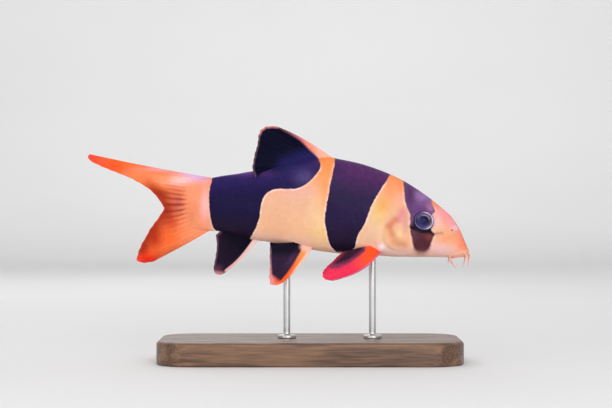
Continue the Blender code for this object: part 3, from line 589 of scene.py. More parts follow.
def tube(path, radii, sides, loop=False):
    """Rings of points along a path, each with its own radius."""
    ahead = np.roll(path, -1, axis=0) - np.roll(path, 1, axis=0)
    if not loop:
        ahead[0], ahead[-1] = path[1] - path[0], path[-1] - path[-2]
    ahead /= np.linalg.norm(ahead, axis=1, keepdims=True)
    sideways = np.linalg.svd(path - path.mean(axis=0))[2][2]
    across = sideways - (ahead @ sideways)[:, None] * ahead
    across /= np.linalg.norm(across, axis=1, keepdims=True)
    over = np.cross(ahead, across)
    turn = 2 * np.pi * np.arange(sides)[None, :, None] / sides
    round_it = np.cos(turn) * across[:, None] + np.sin(turn) * over[:, None]
    return path[:, None] + np.asarray(radii)[..., None] * round_it


def soft_flesh(name):
    """Bare skin: a kept tint, fine wrinkles and a wet gloss."""
    made, tree, shader = finish_of(
        name, Specular_IOR_Level=0.3, Coat_Weight=0.15, Coat_Roughness=0.18, Subsurface_Weight=0.25,
        Subsurface_Scale=0.0005, Subsurface_Radius=(1, 0.4, 0.25),
    )
    flesh = shaded(tree, kept_tint(tree), varied(tree, 1800, 4, 0.85, 1.1))
    surfaced(tree, shader, flesh, varied(tree, 1200, 3, 0.34, 0.5), noise(tree, 3600, 4), 0.00005, 0.6)
    return made


def mirrored(line, side):
    """A line of points on the right side, or on the left side where side is -1."""
    return [(x, y * side, z) for x, y, z in line]


lip_flesh = soft_flesh("lip_flesh")
turn = np.linspace(0, 2 * np.pi, LIP_STEPS, endpoint=False)
path = MOUTH + np.stack([LIP_RADII[0] * np.cos(turn), LIP_RADII[1] * np.sin(turn)], axis=1) @ LIP_PLANE
behind = ramp(-np.cos(turn), 0.2, 0.9)  # the lower lip, in two lobes that meet at a notch
thickness = LIP_THICKNESS * (1 - 0.3 * np.abs(np.sin(turn)) ** 3 - 0.35 * behind * near(np.sin(turn), 0.18))
beads = np.cos(2 * np.pi * np.arange(LIP_SIDES) / LIP_SIDES * 3)
papillae = 1 + 0.06 * np.sin(turn * 34)[:, None] * beads[None]
points = tube(path, thickness[:, None] * papillae, LIP_SIDES, loop=True)
# Painted shade on the lips, deepest at the mouth's edge.
inner = near(np.linalg.norm((points - MOUTH) / (1.6, 1, 1), axis=-1), 1.15)
faces = np.array(grid_faces(LIP_STEPS + 1, LIP_SIDES, wraps=True)) % (LIP_STEPS * LIP_SIDES)
lips = piece("lips", points, faces.tolist(), lip_flesh, tint=blended(LIP_TINT, LIP_SHADE, inner))

feeler_flesh = soft_flesh("feeler_flesh")
along = np.linspace(0, 1, BARBEL_STEPS)
wrinkles = 1 + 0.035 * np.sin(along * 70)
tint = blended(BARBEL_ROOT, BARBEL_TIP, np.append(np.repeat(along, BARBEL_SIDES), [0, 1]))
for kind, (line, radius) in BARBELS.items():
    for side, word in SIDES:
        path = drawn(mirrored(line, side), BARBEL_STEPS)
        radii = radius * (1 - 0.62 * along**1.5) * wrinkles * np.where(along > 0.97, 0.75, 1)
        points = tube(path, radii[:, None] * np.ones(BARBEL_SIDES), BARBEL_SIDES)
        points = [*points.reshape(-1, 3), path[0], path[-1] + (path[-1] - path[-2]) * 0.6]
        faces = closed_faces(BARBEL_STEPS, BARBEL_SIDES)
        barbel = piece(f"feeler_{kind}_{word}", points, faces, feeler_flesh, tint=tint)
        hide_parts(f"barbel_{kind}_{word}")

# The eyes. Each is a flattened ball sunk in its socket under a hard wet coat, with a deep blue pupil, a dusky
# iris and a thin pale ring round it.
EYE_CENTRE, EYE_SINK, EYE_FACING = (38.8, -6.04472, 48.5), 1.5, (0.16, -0.96, 0.22)  # the right one's
EYE_RADII = (4.4, 4.1, 2.4)
EYE_TILTS, EYE_TURNS = 110, 120
EYE_SEEN = 0.79  # the share of the ball's radius that shows in its opening
PUPIL, PUPIL_SHINE = (0.003, 0.002, 0.045), (0.008, 0.018, 0.17)
IRIS, IRIS_FRONT = (0.02, 0.012, 0.072), (0.045, 0.028, 0.038)
IRIS_TOP, IRIS_LOW = (0.11, 0.07, 0.15), (0.055, 0.042, 0.125)
# The glow is a painted highlight on the upper front of the iris.
IRIS_HIGHLIGHT, IRIS_LINE = (0.46, 0.28, 0.27), (0.3, 0.25, 0.34)
EYE_RING, EYE_GLINT = (0.19, 0.19, 0.5), (0.8, 0.72, 1)
SOCKET_SHADOW, SOCKET_PALE = (0.01, 0.006, 0.014), (0.3, 0.2, 0.42)


def eye_material():
    """A glassy eye: its kept tint, finely mottled, under a hard wet coat."""
    made, tree, shader = finish_of(
        "eye", Specular_IOR_Level=0.1, Coat_Weight=0.1, Coat_Roughness=0.06, Roughness=0.4,
    )
    colour = shaded(tree, kept_tint(tree), varied(tree, 2400, 5, 0.8, 1.25))
    tree.links.new(colour, shader.inputs["Base Color"])
    return made


eye_finish = eye_material()
for side, word in SIDES:
    centre, out = np.array(mirrored((EYE_CENTRE, EYE_FACING), side))
    out /= np.linalg.norm(out)
    forward = np.array((1, 0, 0)) - out[0] * out
    forward /= np.linalg.norm(forward)
    up = np.cross(out, forward)
    up *= np.sign(up[2])
    centre -= out * EYE_SINK
    tilt = np.linspace(0.004, np.pi * 0.72, EYE_TILTS)[:, None]
    turn = np.linspace(0, 2 * np.pi, EYE_TURNS, endpoint=False)[None]
    seen = np.sin(np.minimum(tilt, np.pi / 2)) / EYE_SEEN + 0 * turn
    seen = np.where(tilt > np.pi / 2, 1.3, seen)
    bulge = 1 + 0.012 * ramp(0.42 - seen, 0, 0.05) - 0.01 * near(seen - 0.9, 0.05)
    high, ahead = np.sin(turn) + 0 * tilt, np.cos(turn) + 0 * tilt
    local = np.stack([np.sin(tilt) * ahead, np.sin(tilt) * high, np.cos(tilt) + 0 * turn], axis=-1)
    points = centre + (local * EYE_RADII * bulge[..., None]) @ np.array((forward, up, out))
    iris = layered(
        IRIS, (IRIS_FRONT, ramp(ahead, 0.2, 0.9)),
        (IRIS_LOW, ramp(-high, 0.3, 0.9) * ramp(seen, 0.5, 0.75)),
        (IRIS_TOP, ramp(high - 0.2 * ahead, 0, 0.9) * ramp(seen, 0.48, 0.62) * ramp(-seen, -0.86, -0.74)),
        # A painted highlight on the iris above and ahead of the pupil.
        (IRIS_HIGHLIGHT, 0.85 * near(seen - 0.55, 0.055) * ramp(high + 0.6 * ahead, 0.5, 1)),
    )
    bright = ramp(ahead + 0.15 * high, -0.5, 0.75)
    ring = near((seen - 0.9) / (0.6 + 0.9 * bright), 0.05) * (0.8 + 0.2 * np.sin(turn * 5 + 0.9))
    # The rim of the ball in its socket: pale lavender, with a painted shadow on its lower and rear side.
    socket = blended(SOCKET_PALE, SOCKET_SHADOW, np.maximum(ramp(-high, 0.1, 0.7), ramp(-ahead, 0.1, 0.8)))
    tint = layered(
        blended(PUPIL_SHINE, PUPIL, ramp(seen, 0.05, 0.26)), (iris, ramp(seen, 0.39, 0.45)),
        (IRIS_LINE, 0.7 * near(seen - 0.72, 0.03) * ramp(ahead - 0.5 * high, 0.3, 0.9)),
        (blended(EYE_RING, EYE_GLINT, bright), ring), (socket, ramp(seen, 0.96, 1)),
    )
    count = EYE_TILTS * EYE_TURNS
    faces = grid_faces(EYE_TILTS, EYE_TURNS, wraps=True)
    faces += [tuple(range(EYE_TURNS)), tuple(range(count - EYE_TURNS, count))[::-1]]
    eye = piece("eye_ball_" + word, points, faces, eye_finish, tint=tint)
    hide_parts("eye_" + word)

# The fins. Each is a thin membrane stretched over bony rays, which start thick at the root and fork twice on
# their way out to a frayed rim. Those on the middle line follow the swing of the spine.
ROOT_THICKNESS, RIM_THICKNESS, RAY_THICKNESS = 0.36, 0.09, 0.3
COLUMNS_PER_RAY, FIN_ROWS = 14, 120
EDGE_STEP = 7  # the points skipped along an edge when the distance to it is measured
JOINT_SPACING = 0.55  # along the rays


def fin_material(name, ray_shade, glow):
    """Wet membrane that light passes through, with jointed rays a little lighter or darker than it."""
    made, tree, shader = finish_of(
        name, Specular_IOR_Level=0.05, Coat_Weight=0.015, Coat_Roughness=0.2, Subsurface_Weight=glow,
        Subsurface_Scale=0.0006, Subsurface_Radius=FLESH_SPREAD,
    )
    tint = shaded(tree, kept_tint(tree), varied(tree, 900, 5, 0.94, 1.05))
    ray = kept(tree, "ray")
    joints = maths(tree, "SINE", times(tree, kept(tree, "along"), 2 * np.pi / JOINT_SPACING))
    height = plus(tree, times(tree, times(tree, joints, ray), 0.12), noise(tree, 2600, 4))
    colour = mixed(tree, ray, tint, shaded(tree, tint, ray_shade))
    surfaced(tree, shader, colour, varied(tree, 1200, 3, 0.46, 0.62), height, 0.00004, 0.5)
    return made


def blade(root, rim, bulges, columns, lean=None):
    """The middle surface of a fin: a grid of points from the first ray to the last, and from root to rim.
    A fin on the fish's middle line has outlines of (x, z), and lean gives its y."""
    if lean:
        root, rim, bulges = ([(x, 0, z) for x, z in line] for line in (root, rim, bulges))
    share = np.linspace(0, 1, columns)[:, None, None]
    out = np.linspace(0, 1, FIN_ROWS)[None, :, None]
    foot, tip = batten(root)(share.ravel())[:, None], batten(rim)(share.ravel())[:, None]
    bulge = np.array(bulges[0]) * (1 - share) + np.array(bulges[1]) * share
    middle = foot + (tip - foot) * out + 4 * out * (1 - out) * bulge
    if lean:
        middle[..., 1] = lean(middle[..., 0], share[..., 0], out[..., 0])
    return middle


def passed(points, axis):
    """The way gone from the first row of a grid of points, or from its first column."""
    steps = np.linalg.norm(np.diff(points, axis=axis), axis=-1)
    return np.concatenate([np.zeros_like(np.take(steps, [0], axis)), np.cumsum(steps, axis)], axis)


def make_fin(name, middle, ray, colour, finish, stiff=1.5, seed=0):
    """A fin from its middle surface. ray counts the rays across it. colour paints it, given the place in the
    side view, the distances from the first ray, the last ray and the rim, the share of the way out, and the
    folds between the rays."""
    columns = len(ray)
    ray = ray[:, None]
    out = np.linspace(0, 1, FIN_ROWS)[None]
    lead, along = passed(middle, 0), passed(middle, 1)
    wobble = np.sin(ray * 2.3 + seed) + np.sin(ray * 5.1 + 2 * seed) * 0.6
    fray = 0.01 * (0.5 - 0.5 * np.cos(2 * np.pi * ray)) + 0.006 * (1 + wobble / 1.6)
    reach = 1 - fray * ramp(ray, 0.3, 1.5)
    middle = middle[:, :1] + (middle - middle[:, :1]) * (1 - (1 - reach) * out**6)[..., None]
    off = np.abs(ray - np.round(ray))
    fold = near(0.5 - off, 0.2) + 0 * out
    soft = ramp(ray, stiff, stiff + 0.6)
    first_fork = 0.17 * ramp(out, 0.38, 0.85) * soft
    second_fork = 0.085 * ramp(out, 0.68, 1) * soft
    off = np.abs(np.abs(off - first_fork) - second_fork)
    width = 0.15 - 0.085 * ramp(out, 0.05, 0.6)
    ridge = near(off, width)
    thickness = ROOT_THICKNESS + (RIM_THICKNESS - ROOT_THICKNESS) * out**0.8
    thickness = thickness + ridge * RAY_THICKNESS * (1 - 0.78 * out) * (1 + 0.5 * near(ray, 0.8))
    thickness = thickness * (1 - 0.6 * ramp(out, 0.985, 1))
    normal = outwards_from(middle, wraps=False)
    wave = 0.16 * np.sin(ray * 1.9 + 3 * out + seed) + 0.05 * np.sin(2 * np.pi * ray) * ramp(out, 0.2, 0.6)
    middle = middle + normal * (wave * out)[..., None]
    half = normal * thickness[..., None] / 2
    points = np.concatenate([middle + half, middle - half])
    size = columns * FIN_ROWS
    faces = grid_faces(columns, FIN_ROWS, wraps=False)
    faces += [(a + size, b + size, c + size, d + size) for d, c, b, a in faces]
    corner = np.arange(size).reshape(columns, FIN_ROWS)
    edge = [*corner[:, 0], *corner[-1, 1:], *corner[-2::-1, -1], *corner[0, -2:0:-1]]
    edge = [int(i) for i in edge]
    faces += [(b, a, size + a, size + b) for a, b in zip(edge, edge[1:] + edge[:1])]
    x, z = middle[..., 0], middle[..., 2]
    tint = colour(x, z, lead, lead[-1] - lead, along[:, -1:] - along, out + 0 * ray, fold)
    ray, along, tint = (np.concatenate([values, values]) for values in (ridge, along, tint))
    return piece(name, points, faces, finish, ray=ray, along=along, tint=tint)


def rays_across(rays):
    """The count of rays passed at each column of a fin."""
    return np.linspace(0, rays - 1, (rays - 1) * COLUMNS_PER_RAY + 1)


# The fin of the back, black like the band below it, with an orange leading edge and a thin pink rim. Its last
# rays flop over towards the right side.
DORSAL_ROOT = ((8.9, 69.3), (2.8, 68.5), (-3.4, 67.3), (-9, 66.4), (-13.8, 66.1))
DORSAL_RIM = (
    (-11.2, 80.9), (-14.2, 81.1), (-16.5, 80.5), (-17.6, 79.2), (-18, 77), (-18.7, 73.4), (-19.5, 69.8),
    (-19.9, 66.6), (-18.8, 63.2),
)
DORSAL_BULGES = ((0, 0.95), (0, 0.6))
# The navy towards the lower front of the fin is painted sheen over the fin's black.
NAVY_SHEEN, INK = (0.016, 0.013, 0.1), (0.0005, 0.0005, 0.012)
EDGE_PALE, EDGE_ORANGE, EDGE_ROSE = (0.97, 0.46, 0.33), (0.86, 0.27, 0.18), (0.55, 0.15, 0.2)
EDGE_DUSK, EDGE_PINK, EDGE_GREY = (0.2, 0.07, 0.09), (0.62, 0.2, 0.19), (0.18, 0.09, 0.13)
EDGE_BLUSH = (0.95, 0.5, 0.44)


def dorsal_colour(x, z, lead, trail, rim, out, fold):
    front_edge = layered(
        EDGE_DUSK, (EDGE_ROSE, ramp(x, -8, -4)), (EDGE_ORANGE, ramp(x, -4, 0)), (EDGE_PALE, ramp(x, 0, 4)),
    )
    # Painted navy sheen over the black, towards the lower front of the fin.
    dark = blended(INK, NAVY_SHEEN, ramp(0.35 * x - z, -76.5, -69.5) * ramp(x, -14.5, -8))
    to_rim = distance_to([*zip(x[::EDGE_STEP, -1], z[::EDGE_STEP, -1])], x, z)
    edge = ramp(-to_rim, -0.9, -0.25) * ramp(out, 0.5, 0.8)
    return layered(
        front_edge, (dark, ramp(depth_in_band("before the tail", x, z), -0.7, 0.45)),
        (EDGE_GREY, 0.55 * edge), (EDGE_PINK, 0.8 * edge * ramp(z, 76.5, 79)),
        (EDGE_BLUSH, ramp(-lead, -1.2, -0.3) * (0.1 + 0.65 * ramp(x, -5, 2))),
    )


black_finish = fin_material("black_membrane", 1.15, 0.05)
rays = rays_across(12)
middle = blade(DORSAL_ROOT, DORSAL_RIM, DORSAL_BULGES, len(rays),
               lambda x, s, v: swing(x) - 0.3 * v - 3.8 * s**3 * v**0.5)
dorsal = make_fin("fin_of_back", middle, rays, dorsal_colour, black_finish, stiff=2.5, seed=1)
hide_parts("dorsal_fin")

# The fin behind the vent: a thin black membrane over bony rays, with a pale pink leading edge. It hangs on the
# middle line under the last band, and its rim leans a little to the left.
ANAL_ROOT = ((-16.8, 43.2), (-23.4, 44.6), (-30.2, 46))
ANAL_RIM = (
    (-28.7, 30.9), (-30.2, 29.9), (-31.7, 29.6), (-33.1, 30.1), (-33.6, 31.5), (-33.1, 34.2), (-32.6, 37),
    (-32.4, 40.4), (-32.6, 43.4),
)
ANAL_BULGES = ((0.2, -0.8), (0, -0.1))
ANAL_INK, ANAL_SHEEN = (0.004, 0.002, 0.01), (0.015, 0.006, 0.022)
ANAL_MAUVE, ANAL_DUSK, ANAL_TIP = (0.15, 0.07, 0.1), (0.1, 0.038, 0.065), (0.6, 0.23, 0.29)
ANAL_FRONT, ANAL_FRONT_TIP = (0.88, 0.64, 0.57), (0.88, 0.47, 0.48)


def anal_colour(x, z, lead, trail, rim, out, fold):
    to_front = distance_to([*zip(x[0, ::EDGE_STEP], z[0, ::EDGE_STEP])], x, z)
    strip = 0.6 + 1.1 * (1 - out) ** 1.5
    return layered(
        blended(ANAL_INK, ANAL_SHEEN, ramp(out, 0.2, 0.8)),
        (ANAL_MAUVE, 0.85 * ramp(-np.minimum(rim, trail + 0.2), -1.5, -0.4) * ramp(-x, 27, 31)),
        (ANAL_DUSK, 0.8 * ramp(-z, -34, -31.5) * ramp(-x, 29, 32)),
        (ANAL_TIP, ramp(-(z + 0.12 * (x + 31.5)), -31.5, -29.9) * ramp(-x, 26, 29)),
        (blended(ANAL_FRONT, ANAL_FRONT_TIP, out), ramp(strip - to_front, -0.3, 0.2)),
    )


rays = rays_across(9)
middle = blade(ANAL_ROOT, ANAL_RIM, ANAL_BULGES, len(rays), lambda x, s, v: swing(x) + 0.8 * v**2)
anal = make_fin("fin_behind_vent", middle, rays, anal_colour, black_finish, seed=2)
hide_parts("anal_fin")

# The tail fin, in one piece over both solids: orange at its root, redder towards its two tips, and dusky red
# in the fork. The lower lobe curls away from the right side.
UPPER_ROOT = ((-33.6, 63.2), (-37.6, 61.8), (-39.3, 58.2), (-39.9, 53.9))
UPPER_RIM = (
    (-76.8, 71.6), (-77.5, 70.7), (-76.2, 69), (-72.6, 67.1), (-66.2, 64.7), (-60.2, 62), (-55.6, 58.9),
    (-52.5, 55.6), (-50.8, 52.7),
)
UPPER_BULGES, LOWER_BULGES = ((0, -0.3), (0, -0.4)), ((0, -0.4), (0, -0.2))
LOWER_ROOT = ((-39.9, 53.9), (-39.5, 49.2), (-37.6, 46.2), (-33.6, 45.6))
LOWER_RIM = (
    (-50.8, 52.7), (-54, 47.9), (-56.2, 45.1), (-57.8, 42.3), (-59.5, 39.5), (-60.6, 36.8), (-61.1, 35.1),
    (-60.6, 33.8), (-59.1, 33.3), (-55.4, 34),
)
# The colour between the rays is painted shade in the folds of the half-closed fin.
TAIL_FOLD_SHADE, TAIL_DUSK = (0.16, 0.016, 0.012), (0.34, 0.026, 0.01)  # between the rays, and round the fork
TAIL_OUTER, TAIL_RIM = (0.97, 0.2, 0.04), (0.97, 0.2, 0.16)


def tail_colour(x, z, lead, trail, rim, out, fold):
    fork = [*UPPER_RIM[5:], *LOWER_RIM[1:7]]
    dusk = ramp(-distance_to(fork, x, z), -5, -0.4)
    dusk *= np.where(z > 53, ramp(x, -60, -53.5), ramp(z, 33.5, 39))
    dusk = np.maximum(dusk, 0.6 * ramp(-rim, -1.8, -0.2) * ramp(x, -70, -62) * ramp(z, 58, 60))
    tint = blended(TAIL_ROOT_TINT, TAIL_OUTER, ramp(-x, 41, 56))
    return layered(
        blushed(tint, TAIL_BLUSHES, x, z), (TAIL_DUSK, 0.9 * dusk),
        # Painted shade in the folds between the rays, in the middle of the fin near its root.
        (TAIL_FOLD_SHADE, 0.75 * fold * ramp(-x, 42, 44.6) * near(z - 53.8, 5.6) * ramp(x, -52.5, -48.5)),
        (TAIL_RIM, ramp(-rim, -0.6, -0.1) * 0.3),
    )


tail_finish = fin_material("tail_membrane", 1.1, 0.3)
upper_rays, lower_rays = rays_across(11), rays_across(10)
upper = blade(UPPER_ROOT, UPPER_RIM, UPPER_BULGES, len(upper_rays),
              lambda x, s, v: swing(x) - 2 * (1 - s) * v**2)
lower = blade(LOWER_ROOT, LOWER_RIM, LOWER_BULGES, len(lower_rays),
              lambda x, s, v: swing(x) + 8 * s**1.3 * v**2)
middle = np.concatenate([upper, lower[1:]])
rays = np.concatenate([upper_rays, lower_rays[1:] + upper_rays[-1]])
tail = make_fin("fin_of_tail", middle, rays, tail_colour, tail_finish, seed=3)
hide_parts("caudal_fin_upper", "caudal_fin_lower")

# The belly fins, a pair of black membranes that hang from the belly and slant back and out. Each has a broad
# orange leading edge, a pale outer rim and a red tip.
PELVIC_ROOT = ((1.2, -3.1, 40), (-1.6, -3.3, 40.6), (-4.2, -3.5, 41.2))
PELVIC_RIM = (
    (-9.4, -7, 27.3), (-11.9, -7.2, 26.4), (-13.4, -7.1, 26.6), (-14, -6.9, 28.2), (-13.9, -6.3, 31.8),
    (-13.9, -5.3, 36.6), (-13.8, -4.4, 40.9),
)
PELVIC_BULGES = ((0.6, -0.4, -0.5), (0, -0.6, -0.2))
PELVIC_INK, PELVIC_SHEEN, PELVIC_MAUVE = (0.004, 0.002, 0.012), (0.024, 0.01, 0.034), (0.062, 0.024, 0.08)
PELVIC_ORANGE, PELVIC_RED, PELVIC_DEEP = (0.98, 0.3, 0.085), (0.96, 0.12, 0.012), (0.9, 0.085, 0.012)
TIP_REAR, TIP_AHEAD, TIP_END = (0.88, 0.25, 0.23), (0.8, 0.1, 0.05), (0.98, 0.19, 0.06)
RIM_HIGH, RIM_LOW = (0.32, 0.15, 0.17), (0.76, 0.28, 0.27)
PELVIC_FRONT, PELVIC_FRONT_ROOT = (0.97, 0.58, 0.46), (0.92, 0.52, 0.4)


def pelvic_colour(x, z, lead, trail, rim, out, fold):
    orange = layered(
        PELVIC_ORANGE, (PELVIC_RED, ramp(-z, -36.5, -29.5)),
        (PELVIC_DEEP, 0.7 * ramp(lead, 1.5, 2.6) * ramp(-z, -37, -33)),
    )
    tip = blended(TIP_REAR, TIP_AHEAD, ramp(x, -13.4, -11.2))
    rear_rim = blended(RIM_HIGH, RIM_LOW, ramp(-z, -37, -30))
    edge = ramp(-np.minimum(rim, trail + 0.2) / (0.9 + 0.9 * ramp(-z, -34, -29)), -1, -0.3)
    return layered(
        blended(PELVIC_INK, PELVIC_SHEEN, ramp(-z, -38.5, -35.5)),
        (PELVIC_MAUVE, 0.8 * near(lead - 4.4, 1.3) * near(z - 35.5, 2.6)),
        (orange, ramp(3.1 - 0.8 * out - lead, -0.5, 0.4)),
        (tip, ramp(-z - 0.7 * (x + 12.4), -30.4, -28.4) * ramp(-x, 8.5, 10.5)),
        (TIP_END, ramp(-z, -28.2, -27) * 0.85),
        (PELVIC_FRONT, ramp(0.95 - lead, -0.5, 0.3) * ramp(-out, -0.85, -0.5)),
        (PELVIC_FRONT_ROOT, ramp(-out, -0.22, -0.1) * ramp(4 - lead, -1, 1)),
        (rear_rim, edge * ramp(-z, -40, -38) * ramp(-x, 11, 12.4) * 0.8),
    )


pelvic_finish = fin_material("belly_fin_membrane", 1.1, 0.15)
rays = rays_across(9)
for side, word in SIDES:
    lines = [mirrored(line, side) for line in (PELVIC_ROOT, PELVIC_RIM, PELVIC_BULGES)]
    middle = blade(*lines, len(rays))
    pelvic = make_fin("belly_fin_" + word, middle, rays, pelvic_colour, pelvic_finish, seed=4)
    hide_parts("pelvic_fin_" + word)

# The breast fins, a pair held out and back like wings: bright red, orange at the root, with a sooty
# patch over the upper part and a thin lilac leading edge.
PECTORAL_ROOT = ((24.6, -4.6, 38.2), (23.8, -5, 39.2), (22.8, -5.2, 40.1))
PECTORAL_RIM = (
    (7.6, -14.9, 28.6), (5, -14.9, 28.8), (3.9, -14.5, 30.2), (5.1, -13.2, 32.6), (8, -10.8, 35.2),
    (10.4, -8.8, 37.6),
)
PECTORAL_BULGES = ((1.2, -1, -1.65), (0, -0.6, 0.4))
LEFT_PECTORAL_FALL = (0.5, 0, -1.3)  # the left one is held lower, and stays hidden behind the right one
SOOTY = ((7.2, 46), (7.4, 33.4), (9.6, 33.6), (12.6, 34.6), (15.4, 36.2), (18.2, 38.4), (18.4, 46))
PECTORAL_ORANGE, PECTORAL_CRIMSON = (0.96, 0.11, 0.025), (0.84, 0.032, 0.095)
SOOTY_BORDER, SOOTY_BLACK = (0.15, 0.036, 0.105), (0.026, 0.008, 0.018)
PECTORAL_REAR, PECTORAL_FRONT = (0.42, 0.02, 0.055), (0.72, 0.17, 0.32)


def pectoral_colour(x, z, lead, trail, rim, out, fold):
    depth = depth_in(SOOTY, x, z)
    border = ramp(depth / np.interp(x, (9, 15), (1.8, 0.8)), -1, -0.2)
    return layered(
        blended(PECTORAL_ORANGE, PECTORAL_CRIMSON, ramp(out, 0.2, 0.62)),
        (SOOTY_BORDER, 0.9 * border), (SOOTY_BLACK, 0.95 * ramp(depth, -0.4, 1.2)),
        (PECTORAL_REAR, 0.7 * ramp(-rim, -3.2, -0.2) * ramp(z, 29.5, 32)),
        (PECTORAL_FRONT, ramp(0.5 - lead, -0.25, 0.15) * 0.8),
    )


pectoral_finish = fin_material("breast_fin_membrane", 1.1, 0.3)
rays = rays_across(13)
for side, word in SIDES:
    lines = [mirrored(line, side) for line in (PECTORAL_ROOT, PECTORAL_RIM, PECTORAL_BULGES)]
    if side < 0:
        lines[1] = np.array(lines[1]) + LEFT_PECTORAL_FALL
    middle = blade(*lines, len(rays))
    pectoral = make_fin("breast_fin_" + word, middle, rays, pectoral_colour, pectoral_finish, seed=5)
    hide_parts("pectoral_fin_" + word)

# The base of the stand: one board of oiled walnut with round corners and a softly moulded top edge, its grain
# running along it.
BASE_CORNER, BASE_EDGE = 12, 1.2
CORNER_STEPS = 25
WALNUT_LIGHT, WALNUT_DARK = (0.235, 0.118, 0.058), (0.075, 0.032, 0.015)


def walnut():
    """Oiled walnut: long dark figure, short pores and a low sheen."""
    made, tree, shader = finish_of("walnut", Coat_Weight=0.25, Coat_Roughness=0.25)
    rings = maths(tree, "SINE", times(tree, noise(tree, 60, 6, (0.16, 1.6, 1.6)), 42))
    pores = noise(tree, 2200, 3, (0.05, 1, 1))
    share = plus(tree, ranged(tree, rings, -1, 1, 0, 0.55), ranged(tree, pores, 0.35, 0.7, 0, 0.5))
    colour = mixed(tree, share, (*WALNUT_DARK, 1), (*WALNUT_LIGHT, 1))
    surfaced(tree, shader, colour, ranged(tree, pores, 0.3, 0.7, 0.55, 0.38), pores, 0.00008, 0.5)
    return made


low, high = (np.array(corner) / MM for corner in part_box("stand_base"))
half = (high - low)[:2] / 2 - BASE_CORNER
rings = [(0.5, 0), (0, 0.5)]
for turn in np.linspace(0, np.pi / 2, 10):
    rings.append((BASE_EDGE * (1 - np.cos(turn)), high[2] - BASE_EDGE * (1 - np.sin(turn))))
rings.append((3, high[2]))
points = []
for inset, level in rings:
    for quarter, corner in enumerate(((1, 1), (-1, 1), (-1, -1), (1, -1))):
        for turn in np.pi / 2 * (quarter + np.linspace(0, 1, CORNER_STEPS)):
            reach = BASE_CORNER - inset
            points.append((*(half * corner + reach * np.array((np.cos(turn), np.sin(turn)))), level))
around, count = 4 * CORNER_STEPS, len(points)
faces = grid_faces(len(rings), around, wraps=True)
faces += [tuple(range(around))[::-1], tuple(range(count - around, count))]
base = piece("stand_board", points, faces, walnut())
base.data.set_sharp_from_angle(angle=0.7)
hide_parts("stand_base")

# The two rods of the stand: satin steel, each turned with a round foot that is screwed down on the board, and
# with a flat top.
ROD_RADIUS, FOOT_RADIUS, BOARD_TOP = 1.2, 3.2, 8
ROD_SIDES = 48


def brushed_steel():
    """Steel with a fine turned finish round it."""
    made, tree, shader = finish_of("brushed_steel", Metallic=1)
    brushed = noise(tree, 3000, 2, (0.1, 0.1, 1))
    colour = mixed(tree, varied(tree, 300, 4, 0, 1), (0.57, 0.57, 0.58, 1), (0.62, 0.61, 0.6, 1))
    surfaced(tree, shader, colour, ranged(tree, brushed, 0.3, 0.7, 0.28, 0.34), brushed, 0.000003, 0.2)
    return made


def turned(profile, sides, x=0, y=0):
    """The points of a shape turned on a lathe, from its profile of radii and levels."""
    turn = 2 * np.pi * np.arange(sides) / sides
    return [(x + radius * np.cos(t), y + radius * np.sin(t), z) for radius, z in profile for t in turn]


steel = brushed_steel()
for word in ("stand_rod_front", "stand_rod_rear"):
    low, high = (np.array(corner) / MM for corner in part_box(word))
    x, y = (low + high)[:2] / 2
    foot, top = BOARD_TOP, high[2]
    profile = [(0, foot), (FOOT_RADIUS - 0.2, foot), (FOOT_RADIUS, foot + 0.2), (FOOT_RADIUS, foot + 0.8)]
    for t in np.linspace(0.2, 1.57, 6):
        profile.append((FOOT_RADIUS - 0.25 * (1 - np.cos(t)), foot + 0.8 + 0.3 * np.sin(t)))
    for t in np.linspace(0, 1.57, 8):
        profile.append((ROD_RADIUS + 0.75 * (1 - np.sin(t)), foot + 1.1 + 0.75 * (1 - np.cos(t))))
    profile += [(ROD_RADIUS, level) for level in np.linspace(foot + 2.2, top + 0.6, 12)] + [(0, top + 0.6)]
    faces = grid_faces(len(profile), ROD_SIDES, wraps=True)
    rod = piece(word.replace("stand_rod", "steel_rod"), turned(profile, ROD_SIDES, x, y), faces, steel)
    rod.data.set_sharp_from_angle(angle=0.7)
    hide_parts(word)

# The room: a pale plain floor that curves up far off all round, soft lamps, and a camera level with the fish,
# as in the photo.
FLOOR_RADIUS, WALL_HEIGHT, WALL_CURVE, FLOOR_SIDES = 1900, 1500, 1000, 96
SEEN_WIDTH = 211  # at the fish
SEEN_CENTRE = (-1.4, 54.2)
CAMERA_DISTANCE = 597

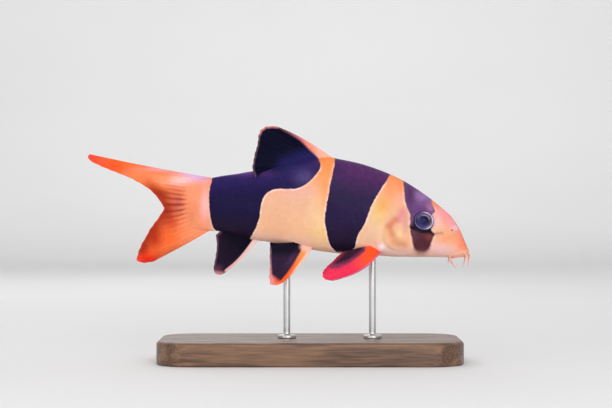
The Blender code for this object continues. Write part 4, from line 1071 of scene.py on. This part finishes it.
floor_finish, tree, shader = finish_of("floor", Roughness=0.9)
pale = mixed(tree, ranged(tree, noise(tree, 3, 2), 0.3, 0.7), (0.82, 0.81, 0.8, 1), (0.85, 0.84, 0.83, 1))
tree.links.new(pale, shader.inputs["Base Color"])
profile = [(radius, 0) for radius in np.linspace(0, FLOOR_RADIUS - WALL_CURVE, 6)]
for t in np.linspace(0.1, 1.57, 14):
    profile.append((FLOOR_RADIUS - WALL_CURVE * (1 - np.sin(t)), WALL_CURVE * (1 - np.cos(t))))
profile += [(FLOOR_RADIUS, WALL_HEIGHT)]
mesh = bpy.data.meshes.new("floor")
points = np.array(turned(profile, FLOOR_SIDES)) * MM
mesh.from_pydata(points.tolist(), [], grid_faces(len(profile), FLOOR_SIDES, wraps=True))
mesh.shade_smooth()
mesh.materials.append(floor_finish)
floor = bpy.data.objects.new("floor", mesh)
bpy.context.scene.collection.objects.link(floor)


def lamp(name, place, aim, size, power, colour=(1, 1, 1)):
    """A soft square lamp that faces a point."""
    light = bpy.data.lights.new(name, "AREA")
    light.size = size * MM
    light.energy = power
    light.color = colour
    made = bpy.data.objects.new(name, light)
    made.location = np.array(place) * MM
    facing = made.location - type(made.location)(np.array(aim) * MM)
    made.rotation_euler = facing.to_track_quat("Z", "Y").to_euler()
    bpy.context.scene.collection.objects.link(made)


lamp("key", (40, -720, 400), (0, 0, 50), 480, 1.9, (1, 0.98, 0.98))
lamp("fill", (-380, -600, 40), (0, 0, 45), 420, 0.8, (0.97, 0.98, 1))
lamp("low", (260, -620, 20), (0, 0, 40), 420, 1.2, (1, 0.98, 1))
lamp("back", (-160, 560, 460), (0, 0, 55), 420, 0.8)
lamp("backdrop", (0, 800, 620), (0, 1800, 820), 500, 2.4)
world = bpy.data.worlds.new("room")
world.use_nodes = True
world.node_tree.nodes["Background"].inputs["Color"].default_value = (0.95, 0.97, 1, 1)
world.node_tree.nodes["Background"].inputs["Strength"].default_value = 0.8
bpy.context.scene.world = world
bpy.context.scene.view_settings.view_transform = "Standard"

lens = bpy.data.cameras.new("camera")
lens.sensor_width = 36
lens.lens = lens.sensor_width * CAMERA_DISTANCE / SEEN_WIDTH
camera = bpy.data.objects.new("camera", lens)
camera.location = np.array((SEEN_CENTRE[0], -CAMERA_DISTANCE, SEEN_CENTRE[1])) * MM
camera.rotation_euler = (np.pi / 2, 0, 0)
bpy.context.scene.collection.objects.link(camera)
bpy.context.scene.camera = camera
